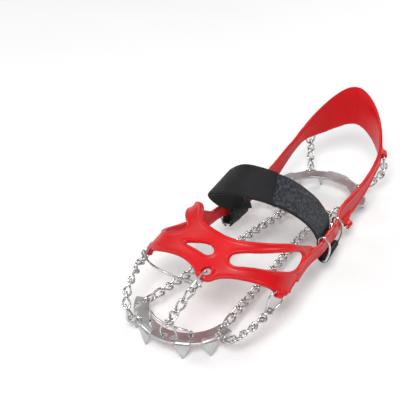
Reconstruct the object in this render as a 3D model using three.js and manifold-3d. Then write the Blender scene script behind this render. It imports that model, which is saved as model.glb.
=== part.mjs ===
// Shoe ice cleats (left foot), in the shape they hold on a shoe.
// A moulded elastomer harness, an instep strap on two wire rings, two crescent spike plates and the
// steel chains between them.  Millimetres; toe towards -Y, outer side of the foot +X, up +Z.
// Inside this file Z = 0 is the sole of the shoe; the whole part is lifted to stand on its spikes.
import * as THREE from 'three';
import { mergeVertices } from 'three/addons/utils/BufferGeometryUtils.js';
import { TessellateModifier } from 'three/addons/modifiers/TessellateModifier.js';
import Module from 'manifold-3d';

const wasm = await Module();
wasm.setup();

// ---------------------------------------------------------------- driving dimensions
const SPIKE_REACH = 15;        // spike tips below the sole of the shoe
const PLATE_THICKNESS = 2;
const PLATE_OUTER = 43;        // radii of the crescent plates
const PLATE_INNER = 31;
const PLATE_HALF_ANGLE = 75;
const TOOTH_WIDTH = 11;
const TOOTH_ANGLES = [-50, -22, 22, 50];

const WIRE = 1.8;              // chain, ring and wire thickness
const LINK_WIDTH = 7.2;        // outer width of one curb link
const EYE = (LINK_WIDTH - WIRE) / 2;   // radius of a link's end; its neighbour runs through that centre
const OVERRUN = EYE / 2;       // a wire centre line runs this far past the point where links touch
const FUSED_OVERRUN = 0.75;    // links of the hidden chains under the sole are joined at their ends

const WEB_THICKNESS = 3;
const WEB_LIFT = 0.3;          // clearance between the harness and the shoe
const RAIL_THICKNESS = 3.4;
const STRAP_WIDTH = 25;
const STRAP_THICKNESS = 1.6;
const STRAP_RING_SPAN = 28.5;  // between the two legs of a strap ring, centre to centre
const STRAP_RING_Y = 15;       // where both strap rings sit along the shoe

const RED = { color: 0xc8141c, roughness: 0.45, metalness: 0 };
const STEEL = { color: 0xb9bcc0, roughness: 0.25, metalness: 1 };
const BRUSHED = { color: 0x9fa3a6, roughness: 0.4, metalness: 1 };
const WEBBING = { color: 0x17181b, roughness: 0.9, metalness: 0 };
const LOOP_PILE = { color: 0x3a3d44, roughness: 1, metalness: 0 };

// ---------------------------------------------------------------- the shoe the cleats fit
// Plan of the shoe: y, outer half width, inner half width.
const PLAN = [
  [-133, -4, -12], [-129, 8, -25], [-122, 20, -36], [-113, 31, -43], [-103, 40, -48], [-90, 49, -51],
  [-72, 55, -52], [-55, 54, -49], [-28, 49, -41], [0, 43, -36], [38, 38, -35], [107, 37, -36],
  [118, 35.5, -34.5], [127, 31, -30.5], [135, 24.5, -24], [141, 16.5, -16], [144.7, 8, -8], [146, 0, 0],
];
// Upper of the shoe: y, height where it meets the sole, height and x of its ridge, roundness.
const UPPER = [
  [-133, 20, 24, -6, 2.0], [-120, 20, 37, -2, 2.1], [-100, 22, 47, 3, 2.0], [-75, 24, 60, 6, 1.8],
  [-45, 26, 78, 6, 1.55], [-30, 26, 88, 5, 1.45], [0, 26, 106, 3, 1.45], [40, 26, 122, 0, 1.5],
];
const HALF_SHEET = 60;         // unrolled distance from the ridge down to the sole edge

const vec = (x, y, z) => new THREE.Vector3(x, y, z);

function tableRow(table, y) {
  const last = table.length - 1;
  if (y <= table[0][0]) return table[0];
  if (y >= table[last][0]) return table[last];
  const i = table.findIndex((row) => row[0] > y);
  const t = (y - table[i - 1][0]) / (table[i][0] - table[i - 1][0]);
  return table[i].map((value, k) => THREE.MathUtils.lerp(table[i - 1][k], value, t));
}

// Point of the shoe at unrolled coordinate u (0 on the ridge, +-HALF_SHEET at the sole edge).
function shoePoint(u, y) {
  const [, outer, inner] = tableRow(PLAN, y);
  const [, base, ridge, ridgeX, round] = tableRow(UPPER, y);
  const side = u >= 0 ? outer : inner;
  const s = Math.abs(u) / HALF_SHEET;
  if (s >= 1) return vec(side, y, base - (s - 1) * HALF_SHEET);
  const across = Math.pow(Math.sin((s * Math.PI) / 2), 2 / round);
  const rise = Math.pow(Math.cos((s * Math.PI) / 2), 2 / round);
  return vec(THREE.MathUtils.lerp(ridgeX, side, across), y, THREE.MathUtils.lerp(base, ridge, rise));
}

function shoeNormal(u, y) {
  const step = 0.6;
  const du = shoePoint(u + step, y).sub(shoePoint(u - step, y));
  const dy = shoePoint(u, y + step).sub(shoePoint(u, y - step));
  return dy.cross(du).negate().normalize();
}

const onShoe = (u, y, lift) => shoePoint(u, y).addScaledVector(shoeNormal(u, y), lift);

// ---------------------------------------------------------------- solids
function solid(geometry) {
  const bare = geometry.clone();
  bare.deleteAttribute('normal');
  bare.deleteAttribute('uv');
  const merged = mergeVertices(bare, 1e-4);
  return new wasm.Manifold(new wasm.Mesh({
    numProp: 3,
    vertProperties: new Float32Array(merged.attributes.position.array),
    triVerts: new Uint32Array(merged.index.array),
  }));
}

function geometryOf(manifold) {
  const mesh = manifold.getMesh();
  const geometry = new THREE.BufferGeometry();
  geometry.setAttribute('position', new THREE.BufferAttribute(mesh.vertProperties, 3));
  geometry.setIndex(new THREE.BufferAttribute(mesh.triVerts, 1));
  geometry.computeVertexNormals();
  return geometry;
}

// Six times the volume inside a closed skin; negative when its faces point inwards.
function signedVolume(points, index) {
  let sum = 0;
  for (let i = 0; i < index.length; i += 3) {
    sum += points[index[i]].dot(points[index[i + 1]].clone().cross(points[index[i + 2]]));
  }
  return sum;
}

// Closed skin through a row of sections, each an array of the same number of points.
function loft(sections) {
  const size = sections[0].length;
  const points = sections.flat();
  const index = [];
  for (let i = 0; i + 1 < sections.length; i++) {
    for (let k = 0; k < size; k++) {
      const a = i * size + k;
      const b = i * size + ((k + 1) % size);
      const shorter = points[b].distanceTo(points[a + size]) < points[a].distanceTo(points[b + size]);
      if (shorter) index.push(a, b, a + size, b, b + size, a + size);
      else index.push(a, b, b + size, a, b + size, a + size);
    }
  }
  const far = (sections.length - 1) * size;
  for (let k = 1; k + 1 < size; k++) {
    index.push(0, k + 1, k);
    index.push(far, far + k, far + k + 1);
  }
  if (signedVolume(points, index) < 0) index.reverse();
  const geometry = new THREE.BufferGeometry().setFromPoints(points);
  geometry.setIndex(index);
  geometry.computeVertexNormals();
  return geometry;
}

// Direction of a row of points at its i-th one.
function tangent(points, i) {
  const before = points[Math.max(0, i - 1)];
  return points[Math.min(points.length - 1, i + 1)].clone().sub(before).normalize();
}

// Flat band along a row of {at, along, face} stations: face points out of its broad side.
function band(stations, width, thickness) {
  const sections = stations.map(({ at, along, face }) => {
    const across = face.clone().cross(along).normalize();
    const out = along.clone().cross(across).normalize();
    const corner = (a, o) => at.clone()
      .addScaledVector(across, (a * width) / 2)
      .addScaledVector(out, (o * thickness) / 2);
    return [corner(-1, -1), corner(1, -1), corner(1, 1), corner(-1, 1)];
  });
  return loft(sections);
}

// Closed wire loop: a torus laid along a ring of centre points, flats[i] being the loop's face there.
function wireLoop(points, flats, wire = WIRE, sides = 6) {
  const steps = points.length;
  const torus = new THREE.TorusGeometry(1, 0.1, sides, steps);
  const position = torus.attributes.position;
  for (let i = 0; i <= steps; i++) {
    const here = i % steps;
    const along = points[(here + 1) % steps].clone()
      .sub(points[(here + steps - 1) % steps]).normalize();
    const flat = flats[here].clone();
    flat.addScaledVector(along, -flat.dot(along)).normalize();
    const outward = along.clone().cross(flat);
    for (let j = 0; j <= sides; j++) {
      const turn = (j / sides) * 2 * Math.PI;
      const p = points[here].clone()
        .addScaledVector(outward, (Math.cos(turn) * wire) / 2)
        .addScaledVector(flat, (Math.sin(turn) * wire) / 2);
      position.setXYZ(j * (steps + 1) + i, p.x, p.y, p.z);
    }
  }
  torus.computeVertexNormals();
  return torus;
}

// Open wire along a smooth curve, with flat ends.
function wireAlong(points, steps, wire = WIRE, sides = 6) {
  const circle = new THREE.Shape();
  circle.absarc(0, 0, wire / 2, 0, 2 * Math.PI);
  const path = new THREE.CatmullRomCurve3(points, false, 'centripetal');
  return new THREE.ExtrudeGeometry(circle, { steps, curveSegments: sides / 2, extrudePath: path });
}

// Frame of a link between two points: X along it, Z out of its face, rolled about X.
function linkFrame(start, end, face, rollDeg = 0) {
  const x = end.clone().sub(start).normalize();
  const y = face.clone().cross(x).normalize();
  const z = x.clone().cross(y);
  const roll = new THREE.Matrix4().makeRotationX(THREE.MathUtils.degToRad(rollDeg));
  const middle = start.clone().add(end).multiplyScalar(0.5);
  return new THREE.Matrix4().makeBasis(x, y, z).setPosition(middle).multiply(roll);
}

// One curb link between two touch points.  Its two ends are turned about its length by the angles
// `turns`, measured from the face; neighbouring ends are a quarter turn apart so that they can hook.
function curbLink(start, end, face, turns, { overrun = OVERRUN, arcSteps = 5, sides = 6 } = {}) {
  const reach = start.distanceTo(end) / 2 + overrun - EYE;
  const stations = [];
  for (const side of [1, -1]) {
    for (let i = 0; i < arcSteps; i++) {
      const angle = THREE.MathUtils.degToRad(-75 + (150 * i) / (arcSteps - 1));
      stations.push([side * (reach + EYE * Math.cos(angle)), side * EYE * Math.sin(angle)]);
    }
    stations.push([0, side * EYE]);
  }
  const points = [];
  const flats = [];
  for (const [x, y] of stations) {
    const share = (THREE.MathUtils.clamp(x / reach, -1, 1) + 1) / 2;
    const turn = THREE.MathUtils.degToRad(THREE.MathUtils.lerp(...turns, share));
    points.push(vec(x, y * Math.cos(turn), y * Math.sin(turn)));
    flats.push(vec(0, -Math.sin(turn), Math.cos(turn)));
  }
  return wireLoop(points, flats, WIRE, sides).applyMatrix4(linkFrame(start, end, face));
}

// Flat loop through plan points [along, across], along measured from the middle of the loop.
function flatLoop(outline, wire = WIRE, sides = 6) {
  const points = outline.map(([x, y]) => vec(x, y, 0));
  return wireLoop(points, points.map(() => vec(0, 0, 1)), wire, sides);
}

function ovalOutline(length, width, arcSteps = 5) {
  const radius = (width - WIRE) / 2;
  const reach = (length - WIRE) / 2 - radius;
  const outline = [];
  for (const end of [1, -1]) {
    for (let i = 0; i < arcSteps; i++) {
      const angle = THREE.MathUtils.degToRad(-90 + (180 * i) / (arcSteps - 1));
      outline.push([end * (reach + radius * Math.cos(angle)), end * radius * Math.sin(angle)]);
    }
  }
  return outline;
}

// ---------------------------------------------------------------- parts list
const assembly = new THREE.Group();
assembly.name = 'shoe_ice_cleats';

function addPart(name, geometry, finish) {
  const mesh = new THREE.Mesh(geometry, new THREE.MeshStandardMaterial(finish));
  mesh.name = name;
  assembly.add(mesh);
}

// ---------------------------------------------------------------- spike plates
const FRONT_PLATE = { centre: vec(-10, -92, 0), yaw: 4.2 };
const REAR_PLATE = { centre: vec(0, 77, 0), yaw: 180 };

// Place of a point given by radius and angle (0 = towards the spiked edge) on a plate.
function platePoint(plate, radius, angleDeg, z = 0) {
  const angle = THREE.MathUtils.degToRad(angleDeg);
  return vec(radius * Math.sin(angle), -radius * Math.cos(angle), z)
    .applyAxisAngle(vec(0, 0, 1), THREE.MathUtils.degToRad(plate.yaw))
    .add(plate.centre);
}

function crescent() {
  const halfAngle = THREE.MathUtils.degToRad(PLATE_HALF_ANGLE);
  const down = -Math.PI / 2;
  const shape = new THREE.Shape();
  shape.absarc(0, 0, PLATE_OUTER, down - halfAngle, down + halfAngle, false);
  shape.absarc(0, 0, PLATE_INNER, down + halfAngle, down - halfAngle, true);
  const flat = new THREE.ExtrudeGeometry(shape, {
    depth: PLATE_THICKNESS, bevelEnabled: false, curveSegments: 12,
  });
  return flat.translate(0, 0, -PLATE_THICKNESS);
}

// A tooth is a tall triangle bent straight down from the outer edge of its plate.
function tooth(angleDeg) {
  const half = TOOTH_WIDTH / 2;
  const shape = new THREE.Shape();
  shape.moveTo(-half, -0.3);
  shape.lineTo(-half, -4);
  shape.lineTo(-0.6, -SPIKE_REACH);
  shape.lineTo(0.6, -SPIKE_REACH);
  shape.lineTo(half, -4);
  shape.lineTo(half, -0.3);
  const blade = new THREE.ExtrudeGeometry(shape, { depth: PLATE_THICKNESS, bevelEnabled: false });
  blade.rotateX(Math.PI / 2);
  blade.translate(0, PLATE_THICKNESS - PLATE_OUTER, 0);
  return blade.rotateZ(THREE.MathUtils.degToRad(angleDeg));
}

function spikePlate(plate, holes) {
  let body = solid(crescent());
  for (const angle of TOOTH_ANGLES) body = body.add(solid(tooth(angle)));
  for (const [radius, angleDeg, size] of holes) {
    const drill = new THREE.CylinderGeometry(size / 2, size / 2, 3 * PLATE_THICKNESS, 12);
    drill.rotateX(Math.PI / 2);
    const at = platePoint({ centre: vec(0, 0, 0), yaw: 0 }, radius, angleDeg);
    body = body.subtract(solid(drill.translate(at.x, at.y, 0)));
  }
  const geometry = geometryOf(body);
  geometry.rotateZ(THREE.MathUtils.degToRad(plate.yaw));
  return geometry.translate(plate.centre.x, plate.centre.y, plate.centre.z);
}

// ---------------------------------------------------------------- chain runs
// Holes in a plate: radius, angle, diameter.
const HEEL_HOLE = [39.5, 37, 3.8];
const TOE_HOLE = [39.5, -37, 3.8];
const FLANK_HOLE = [39.5, 61.5, 3.8];
const ARM_HOLE = [35.5, 68.5, 3.8];
const BAIL_HOLE = [34, 31, 3.6];
const TOE_RING_HOLES = [[38.3, 1.2, 3.8], [38.3, 11.4, 3.8]];

const PLATE_MIDDLE = -PLATE_THICKNESS / 2;
const PLATE_RING_WIDTH = 7.8;  // outer width of the oval rings that pass through the plates
const holeOf = (plate, [radius, angle], side) => platePoint(plate, radius, side * angle, PLATE_MIDDLE);

// Each run hangs from an anchor (the bar of its first ring), follows a path and ends at `end`.
const RUNS = {
  front_right: {
    anchor: vec(57.4, -77, 29.5), end: holeOf(FRONT_PLATE, FLANK_HOLE, 1), links: 5,
    faces: [vec(0.8, -0.57, -0.09), vec(-0.08, -0.17, -1.12)],
    path: [vec(54.3, -84, 18), vec(52.6, -91.7, 14.5), vec(50.5, -100, 12.6), vec(45.6, -106.8, 8.5),
      vec(40.1, -109.4, 2.6), vec(32.2, -109.3, -1)],
  },
  front_left: {
    anchor: vec(-55.5, -80, 24), end: holeOf(FRONT_PLATE, TOE_HOLE, 1), links: 5,
    faces: [vec(-1.3, -0.58, 0.44), vec(-0.48, -0.11, -1.09)],
    path: [vec(-53, -94.5, 24.5), vec(-50.7, -103.7, 22.9), vec(-49, -112.7, 19.8),
      vec(-46.7, -120.8, 14.4), vec(-43.2, -126.6, 7.8), vec(-39.8, -127.5, -0.7)],
  },
  mid_right: {
    anchor: vec(44, 54, 3), links: 2,
    faces: [vec(0.75, 0, -0.65), vec(0, 0, -1)],
    path: [vec(36.4, 54, -3), vec(27, 54, -3.1), vec(18.1, 54, -3)],
  },
  mid_left: {
    anchor: vec(-42, 54, 3), links: 2,
    faces: [vec(-0.75, 0, -0.65), vec(0, 0, -1)],
    path: [vec(-34.4, 54, -3), vec(-25, 54, -3.1), vec(-16.1, 54, -3)],
  },
  rear_right: {
    anchor: vec(37, 128.5, 28), end: holeOf(REAR_PLATE, HEEL_HOLE, -1), links: 3,
    faces: [vec(1.04, 0.65, -0.16), vec(-0.42, 0.03, -0.8)],
    path: [vec(36.8, 131, 16), vec(36.5, 129.3, 7.6), vec(32.1, 125.5, 1.2), vec(27.9, 119, -2.1)],
  },
  rear_left: {
    anchor: vec(-36.5, 128.5, 28), end: holeOf(REAR_PLATE, HEEL_HOLE, 1), links: 3,
    faces: [vec(-0.95, 0.62, -0.16), vec(-0.36, -0.1, -1.04)],
    path: [vec(-36.3, 131, 16), vec(-35.2, 129.7, 7.8), vec(-32.8, 125.4, 1.2), vec(-28.8, 118.9, -2.2)],
  },
};
const JUNCTION_SIZE = 12;      // outer diameter of the rings where three chains meet under the arch
const JUNCTION_REACH = (JUNCTION_SIZE - WIRE) / 2 - (EYE - OVERRUN);
const JUNCTIONS = {
  right: vec(18.1 - JUNCTION_REACH, 54, -3),
  left: vec(JUNCTION_REACH - 16.1, 54, -3),
};

// Ring that hangs from a barrel: its bar lies at `from`, its narrow end at `to`.
function harnessRing(from, to, face) {
  const length = from.distanceTo(to);
  const half = length / 2;
  const outline = [
    [-half, -4.3], [-half + 0.9, -5.3], [half - 3, -3.7], [half - 1, -3.1], [half, -1.7],
    [half, 1.7], [half - 1, 3.1], [half - 3, 3.7], [-half + 0.9, 5.3], [-half, 4.3],
  ];
  return flatLoop(outline).applyMatrix4(linkFrame(from, to, face));
}

// Oval ring from one point to another, standing on edge to `face`.
function ovalRing(from, to, face, width) {
  const outline = ovalOutline(from.distanceTo(to) + WIRE, width);
  return flatLoop(outline).applyMatrix4(linkFrame(from, to, face, 90));
}

// Points where the links of a run touch each other, spread along its path.
function touchPoints(path, count) {
  if (path.length === count + 1) return path;
  const curve = new THREE.CatmullRomCurve3(path, false, 'centripetal');
  return Array.from({ length: count + 1 }, (_, i) => curve.getPointAt(i / count));
}

function stepPast(from, to, distance) {
  return to.clone().addScaledVector(to.clone().sub(from).normalize(), distance);
}

// Centre of the curve at the first or last end of a link between two touch points.
const eyeOf = (far, near) => stepPast(far, near, OVERRUN - EYE);

function addRun(name, run) {
  const touch = touchPoints(run.path, run.links);
  const faceAt = (share) => run.faces[0].clone().lerp(run.faces[1], share).normalize();
  addPart(`${name}_harness_ring`, harnessRing(run.anchor, eyeOf(touch[1], touch[0]), faceAt(0)), STEEL);
  for (let i = 0; i < run.links; i++) {
    const near = i === 0 ? -85 : -45;
    const far = i < run.links - 1 ? 45 : run.end ? 0 : 85;
    const link = curbLink(touch[i], touch[i + 1], faceAt((i + 0.5) / run.links), [near, far]);
    addPart(`${name}_link_${i + 1}`, link, STEEL);
  }
  if (!run.end) return;
  const tip = stepPast(touch[run.links - 1], touch[run.links], OVERRUN);
  const ring = ovalRing(stepPast(run.end, tip, EYE), run.end, vec(0, 0, -1), PLATE_RING_WIDTH);
  addPart(`${name}_plate_ring`, ring, STEEL);
}

// Hidden chain under the sole: its links are joined where they touch.
function fusedChain(from, to, count) {
  const spare = OVERRUN - FUSED_OVERRUN;
  const touch = touchPoints([stepPast(to, from, spare), stepPast(from, to, spare)], count);
  const shape = { overrun: FUSED_OVERRUN, arcSteps: 3, sides: 4 };
  const links = touch.slice(1)
    .map((end, i) => solid(curbLink(touch[i], end, vec(0, 0, -1), [0, 90], shape)));
  return geometryOf(links.reduce((chain, link) => chain.add(link)));
}

// ---------------------------------------------------------------- harness
// Outline of the front web and its windows in unrolled coordinates [u, y].
const WEB_OUTLINE = [
  [13, -107.5], [17.5, -105], [18.5, -101], [24, -96], [33, -90], [43, -83], [50, -78.5], [57, -77],
  [62, -72], [63, -64], [62.5, -48], [66, -30], [71, -10], [66, -5],
  [58, -13], [53, -21], [46, -34], [40.5, -43], [30, -59], [17, -70.5], [7, -74], [-3, -73],
  [-11, -70], [-17, -64], [-21, -56], [-27, -50], [-37, -43], [-48, -33], [-58, -18], [-64, -6],
  [-70, -10], [-66, -30], [-62.5, -48], [-62, -64], [-59, -72], [-52, -80],
  [-44, -90], [-32, -95.5], [-20, -96.5], [-9, -98], [0, -102], [6, -107],
];
const WEB_WINDOWS = [
  [[16, -87.5], [14.5, -83], [19, -78], [29, -69], [41, -52], [49, -36], [54, -31.5], [56, -35],
    [55.5, -46], [49, -59], [38, -72.5], [26, -83], [20, -88]],
  [[-15.5, -87], [-11, -86], [-3, -83.5], [3, -84.5], [5, -88.5], [1.5, -91], [-5, -89.5]],
  [[-21, -73], [-20.5, -77], [-27, -80], [-38, -76], [-48, -63], [-54, -48], [-55, -34], [-50, -33],
    [-42, -46], [-34, -58], [-27, -67]],
];
const EYELET = { u: 9.5, y: -100.5, hole: 5, rim: 9.6 };
// Barrels at the ends of the tabs: diameter, width and bore for the bar of a chain ring.
const BARREL = 5.6;
const BARREL_WIDTH = 6.6;
const BORE = 2.7;
// Side rail: y, bottom and top edge above the sole, clearance to the shoe.
const RAIL = [
  [-50, 20, 29, 0.6], [-25, 16, 27.5, 0.8], [-6, 13, 24.5, 4.6], [12, 9, 22.5, 4.7],
  [30, 7, 21.5, 4.6], [46, 5, 22, 0.8], [66, 5, 24, 0.6], [80, 9, 25, 0.6], [93, 14, 27.5, 0.6],
  [107, 20, 31, 0.6], [118, 23, 37, 0.6], [127, 24, 46, 0.7], [135, 26, 56, 0.8],
  [141, 30, 65, 0.9], [144.7, 34, 71, 0.9], [146, 36, 73, 0.9],
];

// Closed outline with every corner cut off.
function rounded(outline) {
  return outline.flatMap(([x, y], i) => {
    const here = new THREE.Vector2(x, y);
    const next = new THREE.Vector2(...outline[(i + 1) % outline.length]);
    return [here.clone().lerp(next, 0.25), here.clone().lerp(next, 0.75)];
  });
}

function web() {
  const shape = new THREE.Shape(rounded(WEB_OUTLINE));
  shape.holes = WEB_WINDOWS.map((window) => new THREE.Path(rounded(window)));
  const sheet = new THREE.ExtrudeGeometry(shape, { depth: WEB_THICKNESS, bevelEnabled: false });
  const fine = new TessellateModifier(13, 6).modify(sheet);
  const position = fine.attributes.position;
  for (let i = 0; i < position.count; i++) {
    const lift = WEB_LIFT + position.getZ(i);
    const p = onShoe(position.getX(i), position.getY(i), lift);
    position.setXYZ(i, p.x, p.y, p.z);
  }
  return solid(fine);
}

// Outward direction of the shoe's side wall in plan.
function wallNormal(side, y) {
  const step = 0.5;
  const column = side > 0 ? 1 : 2;
  const before = tableRow(PLAN, y - step);
  const after = tableRow(PLAN, Math.min(y + step, 146));
  const along = vec(after[column] - before[column], after[0] - before[0], 0).normalize();
  return vec(along.y, -along.x, 0).multiplyScalar(side);
}

function railSection(side, [y, bottom, top, clearance]) {
  const wall = tableRow(PLAN, y)[side > 0 ? 1 : 2];
  const normal = y >= 146 ? vec(0, 1, 0) : wallNormal(side, y);
  const chamfer = 0.9;
  const full = RAIL_THICKNESS;
  const profile = [
    [0, top - chamfer], [0, bottom + chamfer], [chamfer, bottom], [full - chamfer, bottom],
    [full, bottom + chamfer], [full, top - chamfer], [full - chamfer, top], [chamfer, top],
  ];
  return profile.map(([out, z]) => vec(wall, y, z).addScaledVector(normal, clearance + out));
}

// One rail runs down the outer side, round the heel and back along the inner side.
function rail() {
  const outer = RAIL.map((row) => railSection(1, row));
  const inner = RAIL.slice(0, -1).reverse().map((row) => railSection(-1, row));
  return solid(loft([...outer, ...inner]));
}

// Tab from the harness down to a barrel that holds the bar of a chain ring.
function tab(root, rootWidth, run) {
  const first = run.path[0];
  const frame = linkFrame(run.anchor, first, run.faces[0].clone().normalize());
  const across = vec(0, 1, 0).transformDirection(frame);
  const face = vec(0, 0, 1).transformDirection(frame);
  const wide = [root, run.anchor.clone().lerp(root, 0.45), run.anchor];
  const widths = [rootWidth, 0.8 * rootWidth, BARREL_WIDTH];
  const sections = wide.map((at, i) => [[-1, -1], [1, -1], [1, 1], [-1, 1]].map(([a, f]) => at.clone()
    .addScaledVector(across, (-a * widths[i]) / 2)
    .addScaledVector(face, (f * WEB_THICKNESS) / 2)));
  const barrel = new THREE.CylinderGeometry(BARREL / 2, BARREL / 2, BARREL_WIDTH, 14);
  const bore = new THREE.CylinderGeometry(BORE / 2, BORE / 2, 3 * BARREL_WIDTH, 10);
  const place = new THREE.Matrix4().makeBasis(face.clone().cross(across).negate(), across, face)
    .setPosition(run.anchor);
  return {
    body: solid(loft(sections)).add(solid(barrel.applyMatrix4(place))),
    bore: solid(bore.applyMatrix4(place)),
  };
}
// Where each tab grows out of the harness, and how wide it is there.
const TAB_ROOTS = {
  front_right: [onShoe(56, -69, 2.2), 15],
  front_left: [onShoe(-59, -70, 2.2), 14],
  mid_right: [vec(40.5, 54, 11), 20],
  mid_left: [vec(-38.5, 54, 11), 20],
  rear_right: [vec(33.5, 126, 36), 14],
  rear_left: [vec(-33, 126, 36), 14],
};

function cylinderOnShoe(u, y, diameter, from, to, sides) {
  const low = onShoe(u, y, from);
  const high = onShoe(u, y, to);
  const tube = new THREE.CylinderGeometry(diameter / 2, diameter / 2, to - from, sides);
  const turn = new THREE.Quaternion()
    .setFromUnitVectors(vec(0, 1, 0), high.clone().sub(low).normalize());
  return solid(tube.applyQuaternion(turn).translate(...low.add(high).multiplyScalar(0.5).toArray()));
}

function harness() {
  let body = web().add(rail());
  const tabs = Object.entries(TAB_ROOTS).map(([name, [root, width]]) => tab(root, width, RUNS[name]));
  for (const { body: piece } of tabs) body = body.add(piece);
  for (const { bore } of tabs) body = body.subtract(bore);
  body = body.add(cylinderOnShoe(EYELET.u, EYELET.y, EYELET.rim, WEB_LIFT, 3.9, 18));
  body = body.subtract(cylinderOnShoe(EYELET.u, EYELET.y, EYELET.hole, -3, 8, 14));
  return geometryOf(body);
}

// ---------------------------------------------------------------- instep strap and its rings
// Point on the side wall: height above the sole, distance out from the shoe.
const WALL_TOP = 26;                       // height of the side wall beside the instep
const onWall = (side, y, z, out) => onShoe(side * (HALF_SHEET + WALL_TOP - z), y, out);
const BAR = { z: 2, out: 7.2 };            // lower bar of a strap ring
const FOLD = 2.2;                          // radius of the strap's fold round that bar
const foldPoint = (side, angleDeg) => {
  const angle = THREE.MathUtils.degToRad(angleDeg);
  return [side, STRAP_RING_Y, BAR.z + FOLD * Math.sin(angle), BAR.out + FOLD * Math.cos(angle)];
};

function strapRing(side) {
  const half = STRAP_RING_SPAN / 2;
  const leg = [[19.7, 3.3], [23.4, 3.4], [25.3, 5], [25.2, 7.6], [23.3, 9.6], [4.4, 9.6], [2.5, 8.7]];
  const at = (along, [z, out]) => onWall(side, STRAP_RING_Y + along, z, out);
  const points = [
    at(1.4 - half, [18.2, 3.3]), at(half - 1.4, [18.2, 3.3]), ...leg.map((p) => at(half, p)),
    at(half - 1.3, [BAR.z, BAR.out]), at(1.3 - half, [BAR.z, BAR.out]),
    ...leg.slice().reverse().map((p) => at(-half, p)),
  ];
  const centre = at(0, [12, 7]);
  const flats = points.map((p, i) => {
    const count = points.length;
    const along = points[(i + 1) % count].clone().sub(points[(i + count - 1) % count]);
    return p.clone().sub(centre).cross(along).normalize();
  });
  return wireLoop(points, flats);
}

// Strap stations down a side wall: the strap stays parallel to the lower bar of the ring there.
function besideRing(points, side) {
  const bar = onWall(side, STRAP_RING_Y + 10, BAR.z, BAR.out)
    .sub(onWall(side, STRAP_RING_Y - 10, BAR.z, BAR.out)).normalize();
  return points.map((at, i) => {
    const along = tangent(points, i);
    return { at, along, face: bar.clone().cross(along).normalize() };
  });
}

// Centre line of the strap over the instep, in unrolled coordinates [u, y].
const INSTEP = [
  [-64, 14.5], [-57, 8], [-48, -6], [-38, -19], [-28, -29], [-18, -34.5], [-8, -36], [6, -35.5],
  [17, -30], [28, -20], [38, -9], [48, 3], [57, 11], [64, 15],
];
const INSTEP_STEPS = 22;                   // stations of the strap over the instep
const BASE_LIFT = WEB_LIFT + STRAP_THICKNESS / 2;
const FLAP_LIFT = STRAP_THICKNESS + 0.35;  // how far the flap lies above the base
const FLAP_STATIONS = [4, 11];             // instep stations where the flap lies on the base
const TIP_STATIONS = [10, 15];             // and those of its tip, which is pulled up to open the strap
const TIP_GAP = 0.4;

function instepStations() {
  const curve = new THREE.CatmullRomCurve3(INSTEP.map(([u, y]) => vec(u, y, 0)), false, 'centripetal');
  const flat = curve.getSpacedPoints(INSTEP_STEPS);
  const points = flat.map((p) => onShoe(p.x, p.y, BASE_LIFT));
  return points.map((at, i) => ({ at, along: tangent(points, i), face: shoeNormal(flat[i].x, flat[i].y) }));
}

function strapBase() {
  const inner = [[0.9, 3.4], [3, 2.2], [8, 1.25], [15, BASE_LIFT]]
    .map(([z, out]) => onWall(-1, STRAP_RING_Y, z, out));
  const outer = [[15, BASE_LIFT], [8, 1.2], [3, 2], [0.3, 4]]
    .map(([z, out]) => onWall(1, STRAP_RING_Y, z, out));
  const fold = [-100, -60, -20, 20, 60, 100, 135].map((angle) => onWall(...foldPoint(1, angle)));
  const stations = [...besideRing(inner, -1), ...instepStations(), ...besideRing([...outer, ...fold], 1)];
  return band(stations, STRAP_WIDTH, STRAP_THICKNESS);
}

// Instep stations moved outwards so that they lie on top of the base.
function raisedStations([first, end]) {
  const stations = instepStations().slice(first, end);
  for (const { at, along, face } of stations) {
    const out = along.clone().cross(face.clone().cross(along)).normalize();
    at.addScaledVector(out, FLAP_LIFT);
  }
  return stations;
}

// The flap starts at the inner ring, rises outside the rail and lies down on the base.
function strapFlap() {
  const fold = [-85, -55, -25].map((angle) => onWall(...foldPoint(-1, angle)));
  const rise = [[8, 9.5], [15, 9.6], [22, 9.8], [27.5, 8.8]]
    .map(([z, out]) => onWall(-1, STRAP_RING_Y, z, out));
  const stations = [...besideRing([...fold, ...rise], -1), ...raisedStations(FLAP_STATIONS)];
  return band(stations, STRAP_WIDTH, STRAP_THICKNESS);
}

function strapTip() {
  const stations = raisedStations(TIP_STATIONS);
  stations[0].at.addScaledVector(stations[0].along, TIP_GAP);
  return band(stations, STRAP_WIDTH, STRAP_THICKNESS);
}

// ---------------------------------------------------------------- toe: ring, bail, tie wire
const CENTRE_LINKS = 4;
const CONNECTOR_WIDTH = 9.2;   // outer width of the ring in the harness eyelet
const CENTRE_PATH = [vec(10.3, -116.5, 40.7), vec(8.9, -124.5, 35.8), vec(6.1, -130.8, 29.5),
  vec(3.2, -134, 22.5), vec(1.6, -135, 18)];
const CENTRE_FACES = [vec(0.1, -0.4, 0.9), vec(0.15, -1, 0.15)];

function addCentreRun() {
  const touch = touchPoints(CENTRE_PATH, CENTRE_LINKS);
  const eyelet = onShoe(EYELET.u, EYELET.y, WEB_LIFT + WEB_THICKNESS / 2 + 0.3);
  const tip = stepPast(touch[1], touch[0], OVERRUN);
  const connector = ovalRing(stepPast(eyelet, tip, EYE), eyelet, CENTRE_FACES[0], CONNECTOR_WIDTH);
  addPart('centre_connector', connector, STEEL);
  for (let i = 0; i < CENTRE_LINKS; i++) {
    const face = CENTRE_FACES[0].clone().lerp(CENTRE_FACES[1], (i + 0.5) / CENTRE_LINKS);
    const turns = [i === 0 ? 0 : -45, i === CENTRE_LINKS - 1 ? 85 : 45];
    addPart(`centre_link_${i + 1}`, curbLink(touch[i], touch[i + 1], face, turns), STEEL);
  }
  addPart('toe_ring', toeRing(eyeOf(touch[CENTRE_LINKS - 1], touch[CENTRE_LINKS])), STEEL);
}

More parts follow.
